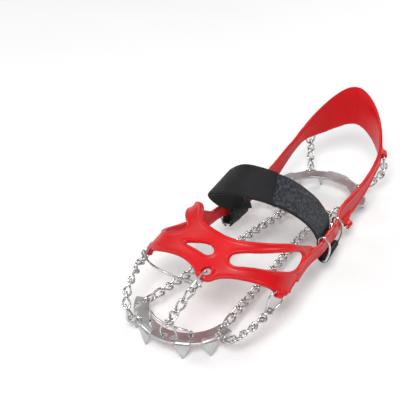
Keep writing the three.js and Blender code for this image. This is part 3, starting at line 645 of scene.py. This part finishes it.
def rail_skin():
    """Rail along both sides and round the heel, with a bead along its top and bottom edges."""
    rows = np.array(RAIL)
    plan = smooth_rows(PLAN, rows[:, 0])
    outer = np.column_stack([plan[:, 0], rows])
    inner = np.column_stack([plan[:, 1], rows])[:-1][::-1]
    path = np.vstack([outer, inner])
    path = smooth_path(path[:, :2], 2.0, path[:, 2:])
    along = tangents(path[:, :2])
    out = np.column_stack([along[:, 1], -along[:, 0]])
    middle, height = path[:, 2:4].mean(1), path[:, 3] - path[:, 2]
    share = np.linspace(-1, 1, 15)
    edge = np.abs(share)
    depth = (0.72 + 0.36 * np.exp(-(((edge - 0.8) / 0.13) ** 2))) * (1 - 0.6 * edge**14)
    profile = [(0.45 * (abs(s) > 0.95), s) for s in share[::2]]
    profile += [(d * RAIL_THICKNESS, s) for d, s in zip(depth, share)][::-1]
    sections = []
    for (x, y, *_, clearance), normal, z, tall in zip(path, out, middle, height):
        sections.append([(x + normal[0] * (clearance + o), y + normal[1] * (clearance + o),
                          z + s * tall / 2) for o, s in profile])
    return loft(sections)


def tab_skins(anchor, first, face, root, width):
    """Tab from the harness down to a barrel, as a tapering plate and a short thick tube."""
    anchor, first, root = (np.asarray(v, float) for v in (anchor, first, root))
    along = unit(first - anchor)
    across = unit(np.cross(face, along))
    out = np.cross(along, across)
    end = anchor + 0.42 * BARREL * unit(root - anchor)
    sections = []
    for share in np.linspace(0, 1, 9):
        wide = np.interp(share, [0, 0.5, 1], [width, 0.78 * width, BARREL_WIDTH])
        section = rounded_section(wide, WEB_THICKNESS, 1.2)
        centre = root + share * (end - root)
        sections.append(centre + section[:, :1] * across + section[:, 1:] * out)
    ring = rounded_section(BARREL_WIDTH, (BARREL - BORE) / 2, 0.5, 2)
    middle = (BARREL + BORE) / 4
    barrel = []
    for turn in np.linspace(0, 2 * np.pi, 28, endpoint=False):
        spoke = math.cos(turn) * along + math.sin(turn) * out
        barrel.append(anchor + (middle + ring[:, 1:]) * spoke + ring[:, :1] * across)
    return [loft(sections), loft(barrel, closed=True)]


# Tabs: root in the harness and the width there.  Each one carries the chain run of its name.
TABS = {
    "front_right": (on_shoe(56, -69, 2.2)[0], 15),
    "front_left": (on_shoe(-59, -70, 2.2)[0], 14),
    "mid_right": ((40.5, 54, 11), 20),
    "mid_left": ((-38.5, 54, 11), 20),
    "rear_right": ((33.5, 126, 36), 14),
    "rear_left": ((-33, 126, 36), 14),
}


def harness():
    """All parts of the moulding fused into one skin with soft inner corners."""
    skins = [web_skin(), rail_skin()]
    for name, (root, width) in TABS.items():
        bar, touch, run_faces, _ = RUNS[name]
        skins += tab_skins(bar, touch[0], run_faces[0], root, width)
    made = mesh_object("harness_moulding", merged(skins))
    fuse = made.modifiers.new("fuse", "REMESH")
    fuse.mode = "VOXEL"
    fuse.voxel_size = VOXEL * MM
    soften = made.modifiers.new("soften", "SMOOTH")
    soften.factor = 0.5
    soften.iterations = 2
    return finished(baked(made), RED, ROOT, ["harness"])


# ---- strap
# Centre line of the strap over the instep, in unrolled coordinates (u, y).
INSTEP = [
    (-64, 14.5), (-57, 8), (-48, -6), (-38, -19), (-28, -29), (-18, -34.5), (-8, -36), (6, -35.5),
    (17, -30), (28, -20), (38, -9), (48, 3), (57, 11), (64, 15),
]
INSTEP_STEPS = 22
BASE_LIFT = WEB_LIFT + STRAP_THICKNESS / 2
FLAP_LIFT = STRAP_THICKNESS + 0.35
FLAP_START, FLAP_END = 4, 14     # instep stations the upper layer covers
PEEL_STATION = 9                 # and the one where its free tip begins
BAR_HEIGHT, BAR_OUT = 2.0, 7.2   # lower bar of a strap ring
FOLD = 2.4                       # radius of the strap's folds round it
PILE_STOP = 34.0                 # the pile ends this far before the end of the lower layer
TURN_START = 22                  # length of the upper layer below its turn over the instep
STITCH_COUNT, STITCH_ROW = 11, 19.0
# One stitch: place in its step, height over the webbing, radius.
STITCH = [(-0.42, -0.25, 0.2), (-0.252, 0.1, 0.27), (0, 0.18, 0.3), (0.252, 0.1, 0.27),
          (0.42, -0.25, 0.2)]


def instep_stations():
    """Middle of the strap at evenly spaced stations over the instep, and its face there."""
    flat = smooth_path(INSTEP, 0.5)
    flat = flat[np.linspace(0, len(flat) - 1, INSTEP_STEPS + 1).round().astype(int)]
    return on_shoe(flat[:, 0], flat[:, 1], np.full(len(flat), BASE_LIFT))


def fold_points(side, angles):
    """Middle of the strap in a fold round the lower bar of its ring."""
    return [on_wall(side, STRAP_RING_Y, BAR_HEIGHT + FOLD * math.sin(a),
                    BAR_OUT + FOLD * math.cos(a)) for a in np.radians(angles)]


def beside_ring(points, side):
    """Stations down a side wall, where the strap lies parallel to the lower bar of its ring."""
    bar = unit(on_wall(side, STRAP_RING_Y + 10, BAR_HEIGHT, BAR_OUT)
               - on_wall(side, STRAP_RING_Y - 10, BAR_HEIGHT, BAR_OUT))
    return np.array(points), unit(np.cross(bar, tangents(np.array(points))))


def eased(rows, first, passes=40):
    """Rows with the turns past the first ones made gentler."""
    for _ in range(passes):
        rows[first:-1] = (rows[first - 1:-2] + 2 * rows[first:-1] + rows[first + 1:]) / 4
    return rows


def band_profile():
    """Section of the strap as (across, out) points: its outer face, then its inner one."""
    share = np.linspace(-1, 1, 26)
    edge = 1 - np.clip((np.abs(share) - 0.9) / 0.1, 0, 1) ** 2 * 0.55
    outer = np.column_stack([share * STRAP_WIDTH, edge * STRAP_THICKNESS]) / 2
    return np.vstack([outer, (outer * [1, -1])[::-1]])


def strap_band(name, at, face, pile_stop=None, ease_after=None):
    """Band through stations.  Loop pile marks its outer face up to pile_stop before its end, and
    turns past the length ease_after are made gentler."""
    rows = smooth_path(at, 1.0, face)
    if ease_after is not None:
        rows = eased(rows, ease_after)
    at, face = rows[:, :3], unit(rows[:, 3:])
    along = tangents(at)
    across = unit(np.cross(face, along))
    out = np.cross(along, across)
    profile = band_profile()
    made = mesh_object(name, loft(at[:, None] + profile[:, 0, None] * across[:, None]
                                  + profile[:, 1, None] * out[:, None]))
    lengths = lengths_along(at)
    station, column = np.divmod(np.arange(len(made.data.vertices)), len(profile))
    mark_uv(made, profile[column, 0] + STRAP_WIDTH / 2, lengths[station])
    if pile_stop is not None:
        fade = np.clip(lengths[-1] - pile_stop - lengths[station], 0, 1)
        fade *= np.clip((STRAP_WIDTH / 2 - 1.2 - np.abs(profile[column, 0])) / 0.4, 0, 1)
        mark = made.data.attributes.new("pile", "FLOAT", "POINT")
        mark.data.foreach_set("value", np.where(profile[column, 1] > 0, fade, 0))
    return made, lengths[-1], (at, along, across, out)


def mark_uv(made, u, v):
    """UV coordinates, in mm, from the values at the vertices."""
    layer = made.data.uv_layers.new(name="UVMap")
    corner = np.zeros(len(made.data.loops), int)
    made.data.loops.foreach_get("vertex_index", corner)
    layer.data.foreach_set("uv", np.column_stack([u, v])[corner].ravel())


def stitches(name, path, run):
    """Row of lock stitches across a strap, `run` mm along it (its stations are 1 mm apart)."""
    at, _, across, out = path
    i = min(int(round(run)), len(at) - 2)
    step = STITCH_ROW / STITCH_COUNT
    skins = []
    for k in range(STITCH_COUNT):
        middle = (k - (STITCH_COUNT - 1) / 2) * step
        row = [at[i] + (middle + share * step) * across[i] + (STRAP_THICKNESS / 2 + rise) * out[i]
               for share, rise, _ in STITCH]
        skins.append(loft(tube(np.array(row), np.array([radius for *_, radius in STITCH]), 8)))
    return finished(mesh_object(name, merged(skins)), THREAD, ROOT)


def lower_strap(middle, face):
    """Layer with the loop pile, from inside the inner rail to the fold round the outer ring."""
    inner = beside_ring([on_wall(-1, STRAP_RING_Y, z, out)
                         for z, out in ((0.9, 3.4), (3, 2.2), (8, 1.25), (15, BASE_LIFT))], -1)
    down = [on_wall(1, STRAP_RING_Y, z, out)
            for z, out in ((15, BASE_LIFT), (8, 1.2), (3, 2), (0.3, 4))]
    outer = beside_ring(down + fold_points(1, (-100, -60, -20, 20, 60, 100, 135)), 1)
    at = np.vstack([inner[0], middle, outer[0]])
    made, length, path = strap_band("strap_lower", at, np.vstack([inner[1], face, outer[1]]),
                                    PILE_STOP)
    finished(made, PILE, ROOT, ["strap_base"])
    return path, length


def upper_strap(middle, face):
    """Layer from the inner ring over the lower one, up to its tip."""
    along = tangents(middle)
    raised = middle + FLAP_LIFT * unit(np.cross(along, np.cross(face, along)))
    rise = [on_wall(-1, STRAP_RING_Y, z, out)
            for z, out in ((8, 9.5), (15, 9.6), (22, 9.8), (27.5, 8.8))]
    side = beside_ring(fold_points(-1, (-85, -55, -25)) + rise, -1)
    covered = slice(FLAP_START, FLAP_END + 1)
    at = np.vstack([side[0], raised[covered]])
    made, length, path = strap_band("strap_upper", at, np.vstack([side[1], face[covered]]),
                                    ease_after=TURN_START)
    made.data.materials.append(WOVEN)
    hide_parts("strap_flap", "strap_tip")
    bend = raised[PEEL_STATION]
    ahead = tangents(raised)[PEEL_STATION]
    tuple(place(bend - 1.5 * ahead))
    tuple(place(bend + 6 * ahead))
    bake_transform(made)
    return path


def strap():
    """Both layers, and the rows of stitches that close their folds."""
    middle, face = instep_stations()
    lower, end = lower_strap(middle, face)
    upper = upper_strap(middle, face)
    stitches("seam_outer_low", lower, end - 3.5)
    stitches("seam_outer_high", lower, end - 6)
    stitches("seam_inner", upper, 14)


# ---- spike plates
TOOTH_BEND = 2.2          # radius of the bend, at the middle of the sheet
BEND_START = PLATE_OUTER - PLATE_THICKNESS / 2 - TOOTH_BEND


def plate_loops(holes):
    """Outline of a plate, notched where its teeth begin, and its holes."""
    half = math.radians(PLATE_HALF_ANGLE)
    angles = np.linspace(-half, half, 601)
    notch = math.asin((TOOTH_WIDTH / 2 + 0.15) / PLATE_OUTER)
    at_tooth = np.abs(angles[:, None] - np.radians(TOOTH_ANGLES)).min(1) < notch
    radii = np.where(at_tooth, BEND_START, PLATE_OUTER)
    outer = np.column_stack([radii * np.sin(angles), -radii * np.cos(angles)])
    inner = PLATE_INNER * np.column_stack([np.sin(angles), -np.cos(angles)])[::-1]
    loops = [rounded_loop(spaced_loop(np.vstack([outer, inner]), 0.7), 0.7, 1)]
    for radius, angle, size in holes:
        a = math.radians(angle)
        loops.append(circle_loop((radius * math.sin(a), -radius * math.cos(a)), size, 24))
    return loops


def tooth_skin(angle):
    """Triangular tooth bent down from the plate's edge with a small radius."""
    flat = [(BEND_START - s, -PLATE_THICKNESS / 2) for s in (1.2, 0.5, 0)]
    curve = [(BEND_START + TOOTH_BEND * math.sin(t),
              TOOTH_BEND * math.cos(t) - PLATE_THICKNESS / 2 - TOOTH_BEND)
             for t in np.radians([15, 30, 45, 60, 75, 90])]
    straight = [(curve[-1][0], z) for z in np.linspace(curve[-1][1], -SPIKE_REACH, 9)[1:]]
    path = np.array(flat + curve + straight)
    along = tangents(path)
    out = np.column_stack([-along[:, 1], along[:, 0]])
    sections = []
    for i, ((r, z), (nr, nz)) in enumerate(zip(path, out)):
        wide = np.interp(-z, [0, 4, SPIKE_REACH], [TOOTH_WIDTH, TOOTH_WIDTH, 1.2])
        thick = PLATE_THICKNESS * (0.9 if i < 2 else 1)   # its root is buried in the plate
        section = rounded_section(wide, thick, min(0.35, 0.45 * wide), 3)
        sections.append([(a, -(r + o * nr), z + o * nz) for a, o in section])
    return loft(turned(sections, angle))


def spike_plate(name, node, plate, holes):
    """Crescent plate with its holes and teeth."""
    centre, yaw = plate
    loops = plate_loops(holes)

    def top(gap, _plan):
        return quarter_round(gap, PLATE_EDGE, PLATE_THICKNESS / 2) - PLATE_THICKNESS / 2

    def bottom(gap, _plan):
        return -quarter_round(gap, PLATE_EDGE, PLATE_THICKNESS / 2) - PLATE_THICKNESS / 2

    plan, heights, faces = thick_sheet(loops, (0.12, PLATE_EDGE, 0.9), 3.0, top, bottom)
    sheet = np.column_stack([plan, heights]), faces
    points, faces = merged([sheet, *map(tooth_skin, TOOTH_ANGLES)])
    made = mesh_object(name, (turned(points, yaw) + centre, faces))
    return finished(made, BRUSHED, ROOT, [node])


def both_sides(*holes):
    """Holes and their mirror images."""
    return [(radius, side * angle, size) for radius, angle, size in holes for side in (1, -1)]


def plates():
    spike_plate("front_spike_plate", "front_plate", FRONT_PLATE,
                [TOE_HOLE, *TOE_RING_HOLES, *both_sides(FLANK_HOLE, ARM_HOLE, BAIL_HOLE)])
    spike_plate("rear_spike_plate", "rear_plate", REAR_PLATE, both_sides(HEEL_HOLE, ARM_HOLE))


# ---- wires, rings and chain links
EYE = (LINK_WIDTH - WIRE) / 2    # radius of a link's end
OVERRUN = EYE / 2                # a wire centre line runs this far past the point where links touch
PLATE_RING_WIDTH = 7.8
CONNECTOR_WIDTH = 9.2
STRAP_RING_SPAN = 28.5
WIRE_STEP = 0.35                 # distance between the sections of a closed wire
DOWN = (0, 0, -1)
# Chain over the toe: touch points of its links, faces at both ends.
CENTRE_PATH = [(10.3, -116.5, 40.7), (8.9, -124.5, 35.8), (6.1, -130.8, 29.5), (3.2, -134, 22.5),
               (1.6, -135, 18)]
CENTRE_FACES = [(0.1, -0.4, 0.9), (0.15, -1, 0.15)]
# Rings where three chains meet under the arch.
JUNCTION_SIZE = 12
JUNCTION_REACH = (JUNCTION_SIZE - WIRE) / 2 - (EYE - OVERRUN)
JUNCTIONS = {"right": (18.1 - JUNCTION_REACH, 54, -3), "left": (JUNCTION_REACH - 16.1, 54, -3)}
# Chains under the sole: name, plate, side of its arm hole, junction, links.
SOLE_RUNS = [
    ("arch_right", FRONT_PLATE, 1, "right", 16), ("arch_left", FRONT_PLATE, -1, "left", 17),
    ("heel_right", REAR_PLATE, -1, "right", 3), ("heel_left", REAR_PLATE, 1, "left", 3),
]


def plate_point(plate, hole, side=1):
    """Centre of a hole of a plate, halfway through the sheet."""
    centre, yaw = plate
    radius, angle, _ = hole
    return turned([0, -radius, -PLATE_THICKNESS / 2], side * angle + yaw) + centre


def step_past(start, end, distance):
    """Point at a distance past the end of a line."""
    start, end = np.asarray(start, float), np.asarray(end, float)
    return end + distance * unit(end - start)


def eye_of(far, near):
    """Centre of the curve at the end of a link nearest to the touch point `near`."""
    return step_past(far, near, OVERRUN - EYE)


def link_axes(start, end, face, on_edge=False):
    """Middle, length, width and face directions of a link between two points."""
    start, end = np.asarray(start, float), np.asarray(end, float)
    along = unit(end - start)
    across = unit(np.cross(face, along))
    out = np.cross(along, across)
    middle = (start + end) / 2
    if on_edge:
        return middle, along, out, -across
    return middle, along, across, out


def smooth_loop(points):
    """Closed smooth curve through a ring of points."""
    points = np.asarray(points, float)
    around = np.vstack([points[-3:], points, points[:4]])
    keys = lengths_along(around)
    first, last = keys[3], keys[3 + len(points)]
    where = np.linspace(first, last, int((last - first) / WIRE_STEP), endpoint=False)
    return smooth_rows(np.column_stack([keys, around]), where)


def loop_skin(points):
    """Round wire along a closed smooth curve."""
    path = smooth_loop(points)
    along = unit(np.roll(path, -1, axis=0) - np.roll(path, 1, axis=0))
    away = path - path.mean(0)
    away = unit(away - (away * along).sum(1, keepdims=True) * along)
    return loft(round_sections(path, WIRE / 2, away, np.cross(along, away)), closed=True)


def flat_loop(axes, outline):
    """Closed wire along an outline in the plane of two axes."""
    middle, along, across, _ = axes
    return loop_skin([middle + x * along + y * across for x, y in outline])


def mirrored(side):
    """Closed outline from its one side."""
    return side + [(x, -y) for x, y in side[::-1]]


def round_end(side, reach, radius):
    """Half circle at one end of a link or an oval ring."""
    return [(side * (reach + radius * math.cos(a)), side * radius * math.sin(a))
            for a in np.linspace(-math.pi / 2, math.pi / 2, 9)]


def curb_link(start, end, face, turns):
    """Curb link between two touch points, its ends turned about its length by `turns` degrees."""
    middle, along, across, out = link_axes(start, end, face)
    reach = np.linalg.norm(np.subtract(end, start)) / 2 + OVERRUN - EYE
    points = []
    for side in (1, -1):
        edge = [(side * share * reach, side * EYE) for share in (0.4, -0.4)]
        for x, y in round_end(side, reach, EYE) + edge:
            turn = math.radians(np.interp(x, [-reach, reach], turns))
            points.append(middle + x * along + y * math.cos(turn) * across
                          + y * math.sin(turn) * out)
    return loop_skin(points)


def oval_ring(start, end, face, width):
    """Oval ring from one point to another, standing on edge to `face`."""
    radius = (width - WIRE) / 2
    reach = np.linalg.norm(np.subtract(end, start)) / 2 - radius
    outline = round_end(1, reach, radius) + round_end(-1, reach, radius)
    return flat_loop(link_axes(start, end, face, on_edge=True), outline)


def harness_ring(bar, narrow_end, face):
    """Ring that hangs from a barrel, tapering to a narrow end."""
    half = np.linalg.norm(np.subtract(narrow_end, bar)) / 2
    side = [(-half, -4.3), (0.9 - half, -5.3), (half - 3, -3.7), (half - 1, -3.1), (half, -1.7)]
    return flat_loop(link_axes(bar, narrow_end, face), mirrored(side))


def open_wire(points):
    """Round wire along an open smooth curve, with rounded ends."""
    path = smooth_path(points, 0.6)
    radii = np.full(len(path), WIRE / 2)
    radii[[0, -1]] *= 0.72
    return loft(tube(path, radii))


def add_wire(name, skin, body, node=None):
    """Wire piece; it stands for the CAD node of its own name unless another one is given."""
    node = node or name.removesuffix("_wire")
    return finished(mesh_object(name, skin), STEEL, body, [node])


def links_between(touch, faces, first_turn, last_turn):
    """Curb links between touch points.  Faces and turns are given for both ends of the run."""
    faces = np.array(faces, float)
    count = len(touch) - 1
    skins = []
    for i in range(count):
        face = faces[0] + (i + 0.5) / count * (faces[1] - faces[0])
        turns = [-45 if i else first_turn, 45 if i < count - 1 else last_turn]
        skins.append(curb_link(touch[i], touch[i + 1], face, turns))
    return skins


def add_links(name, links):
    for number, link in enumerate(links, 1):
        add_wire(f"{name}_link_{number}_wire", link, name + "_run")


def add_end_ring(name, hole, touch, face, width, body):
    """Oval ring from a hole to the nearest link of a run, whose touch points start beside it."""
    tip = step_past(touch[1], touch[0], OVERRUN)
    add_wire(name, oval_ring(step_past(hole, tip, EYE), hole, face, width), body)


def add_run(name, bar, touch, faces, end):
    """Chain run from a barrel of the harness to a hole of a plate, or to a junction ring."""
    body = name + "_run"
    ring = harness_ring(bar, eye_of(touch[1], touch[0]), faces[0])
    add_wire(name + "_harness_ring_wire", ring, body)
    add_links(name, links_between(touch, faces, -85, 0 if end else 85))
    if end:
        add_end_ring(name + "_plate_ring_wire", plate_point(*end), touch[::-1], DOWN,
                     PLATE_RING_WIDTH, body)


def add_centre_run():
    """Chain over the toe, from the eyelet of the web to the toe ring."""
    touch = CENTRE_PATH
    eyelet = on_shoe(*EYELET, WEB_LIFT + WEB_THICKNESS / 2 + 0.3)[0]
    add_end_ring("centre_connector_wire", eyelet, touch, CENTRE_FACES[0], CONNECTOR_WIDTH,
                 "centre_run")
    add_links("centre", links_between(touch, CENTRE_FACES, 0, 85))
    add_wire("toe_ring_wire", toe_ring(eye_of(touch[-2], touch[-1])), "centre_run")


def toe_ring(top):
    """Staple-shaped ring whose legs pass up through two holes of the front plate."""
    a, b = (plate_point(FRONT_PLATE, hole) for hole in TOE_RING_HOLES)
    middle = (a + b) / 2
    foot = middle + (top - middle) * (-2.35 / (top[2] - middle[2]))
    half = np.linalg.norm(top - foot) / 2
    wide = np.linalg.norm(b - a) / 2
    side = [(-half, 1 - wide), (0.7 - half, 0.2 - wide), (half - 3, -wide), (half - 1, 1.2 - wide),
            (half, 2.2 - wide)]
    face = np.cross(top - foot, b - a)
    return flat_loop(link_axes(foot, top, face), mirrored(side))


def toe_bail():
    """Wire round the toe, hooked into the front plate at both ends."""
    holes = [plate_point(FRONT_PLATE, BAIL_HOLE, side) for side in (-1, 1)]
    out = unit(holes[1] - holes[0])

    def end(hole, side):
        marks = ((4.5 * side, -3.5), (1.2 * side, -3.4), (0, -1.6), (0, 1.5))
        return [(*(hole + shift * out)[:2], z) for shift, z in marks]

    arc = [(-25.5, -121.5, 7.5), (-15, -127.5, 10.5), (-3.5, -129.6, 11.6), (7, -127.6, 11),
           (13, -123.5, 8)]
    return open_wire(end(holes[0], -1) + arc + end(holes[1], 1)[::-1])


def tie_wire():
    """Wire across the toe, from a hook on the inner chain ring to the centre connector."""
    bar, touch, faces, _ = RUNS["front_left"]
    middle, along, across, out = link_axes(bar, touch[0], faces[0])
    hook = [middle + x * along + y * across + z * out
            for x, y, z in ((2.6, 0.9, -2.4), (2.6, 1.4, 0.6), (2.6, 3.4, 2.5), (2.8, 5.8, 2.2))]
    over = [(-41, -100.5, 34.2), (-29, -107.5, 38.6), (-16, -111.5, 41.6), (-4, -112.8, 42.6),
            (6, -112.2, 43.4), (13.5, -112, 43.6), (15.5, -112, 42)]
    return open_wire(hook + over)


def strap_ring(side):
    """Bent wire ring: its upper bar holds the rail, its lower bar the fold of the strap."""
    half = STRAP_RING_SPAN / 2
    leg = [(19.7, 3.3), (23.4, 3.4), (25.3, 5), (25.2, 7.6), (23.3, 9.6), (4.4, 9.6), (2.5, 8.7)]

    def at(along, z, out):
        return on_wall(side, STRAP_RING_Y + along, z, out)

    points = [at(1.4 - half, 18.2, 3.3), at(half - 1.4, 18.2, 3.3)]
    points += [at(half, z, out) for z, out in leg]
    points += [at(half - 1.3, BAR_HEIGHT, BAR_OUT), at(1.3 - half, BAR_HEIGHT, BAR_OUT)]
    points += [at(-half, z, out) for z, out in leg[::-1]]
    return loop_skin(points)


def add_sole_run(name, plate, side, junction, count):
    """Chain under the sole, from a plate's arm to the junction ring of its side."""
    hole = plate_point(plate, ARM_HOLE, side)
    centre = np.array(JUNCTIONS[junction], float)
    way = unit([centre[0] - hole[0], centre[1] - hole[1], 0])
    start = hole + 9 * way
    start[2] = -1.8
    finish = centre - JUNCTION_REACH * way
    body = name + "_run"
    touch = np.linspace(start, finish, count + 1)
    add_end_ring(name + "_plate_ring_wire", hole, touch, DOWN, PLATE_RING_WIDTH, body)
    links = links_between(touch, [DOWN, DOWN], 0, 90)
    add_wire(name + "_links", merged(links), body, name + "_chain")


def wires():
    for name, run in RUNS.items():
        add_run(name, *run)
    for row in SOLE_RUNS:
        add_sole_run(*row)
    for side, (x, y, z) in JUNCTIONS.items():
        circle = circle_loop((x, y), JUNCTION_SIZE - WIRE, 24)
        add_wire(f"junction_{side}_wire", loop_skin([(*point, z) for point in circle]), ROOT)
    add_centre_run()
    add_wire("toe_bail_wire", toe_bail(), "toe_bail")
    add_wire("tie_wire_wire", tie_wire(), "tie_wire")
    add_wire("strap_ring_right_wire", strap_ring(1), "strap_ring_right")
    add_wire("strap_ring_left_wire", strap_ring(-1), "strap_ring_left")


def sleeve():
    """Crimped sleeve where the tie wire turns back on itself beside the centre chain."""
    path = smooth_path([(1.5, -112.55, 43.05), (4, -112.4, 43.25), (7.5, -112.2, 43.45)], 0.4)
    share = np.linspace(-1, 1, len(path))
    radius = 1.75 - 0.22 * np.cos(share * 3 * np.pi) ** 2 - 0.35 * np.abs(share) ** 8
    made = mesh_object("tie_wire_sleeve", loft(tube(path, radius, 20)))
    return finished(made, BRUSHED, "tie_wire")


# ---- scene
def floor():
    """Plain pale floor."""
    bpy.ops.mesh.primitive_grid_add(size=6, x_subdivisions=2, y_subdivisions=2)
    ground = bpy.context.object
    s = Shader("pale_floor", Specular_IOR_Level=0.2, Roughness=0.75)
    mottle = s.noise(s.coordinates(), 3)
    s.feed("Base Color", s.ramp(mottle, [(0.3, (0.8, 0.8, 0.8)), (0.7, (0.83, 0.83, 0.83))]))
    ground.data.materials.append(s.material)


def aimed(name, data, at, way):
    """Camera or lamp at a place, turned to look along a direction."""
    made = bpy.data.objects.new(name, data)
    made.location = at
    made.rotation_euler = way.to_track_quat("-Z", "Y").to_euler()
    bpy.context.scene.collection.objects.link(made)
    return made


def lamp(name, at, size, power):
    """Square lamp, size in metres and power in watts, that faces the piece."""
    light = bpy.data.lights.new(name, "AREA")
    light.size = size
    light.energy = power
    aimed(name, light, at, Vector((0, 0, 0.03)) - Vector(at))


def lights():
    """Soft studio light: a pale world that darkens towards the horizon, and three lamps."""
    world = bpy.data.worlds.new("studio")
    sky = Nodes(world, "Background", Strength=0.62)
    source = sky.node("ShaderNodeTexCoord").outputs["Generated"]
    height = sky.node("ShaderNodeSeparateXYZ", Vector=source).outputs["Z"]
    sky.feed("Color", sky.ramp(height, [(0, (0.2, 0.2, 0.21)), (0.75, (1, 1, 1))]))
    bpy.context.scene.world = world
    bpy.context.scene.view_settings.view_transform = "Standard"
    lamp("key", (0.35, -0.75, 1.1), 0.45, 13)
    lamp("fill", (-1.0, -0.3, 0.7), 0.6, 3.5)
    lamp("back", (0.2, 1.0, 0.8), 0.4, 5)


def camera():
    """Camera at 32 degrees from the toe towards the outer side and 38 degrees above the floor."""
    azimuth, elevation, distance = math.radians(32), math.radians(38), 0.8
    view = bpy.data.cameras.new("camera")
    view.sensor_width = 36
    view.lens = 86.06
    view.shift_x = -0.1438
    view.shift_y = 0.0868
    target = Vector(place((0, 0, 0)))
    level = math.cos(elevation)
    away = Vector((math.sin(azimuth) * level, -math.cos(azimuth) * level, math.sin(elevation)))
    bpy.context.scene.camera = aimed("camera", view, target + away * distance, -away)


camera()
lights()
floor()
harness()
strap()
plates()
wires()
sleeve()
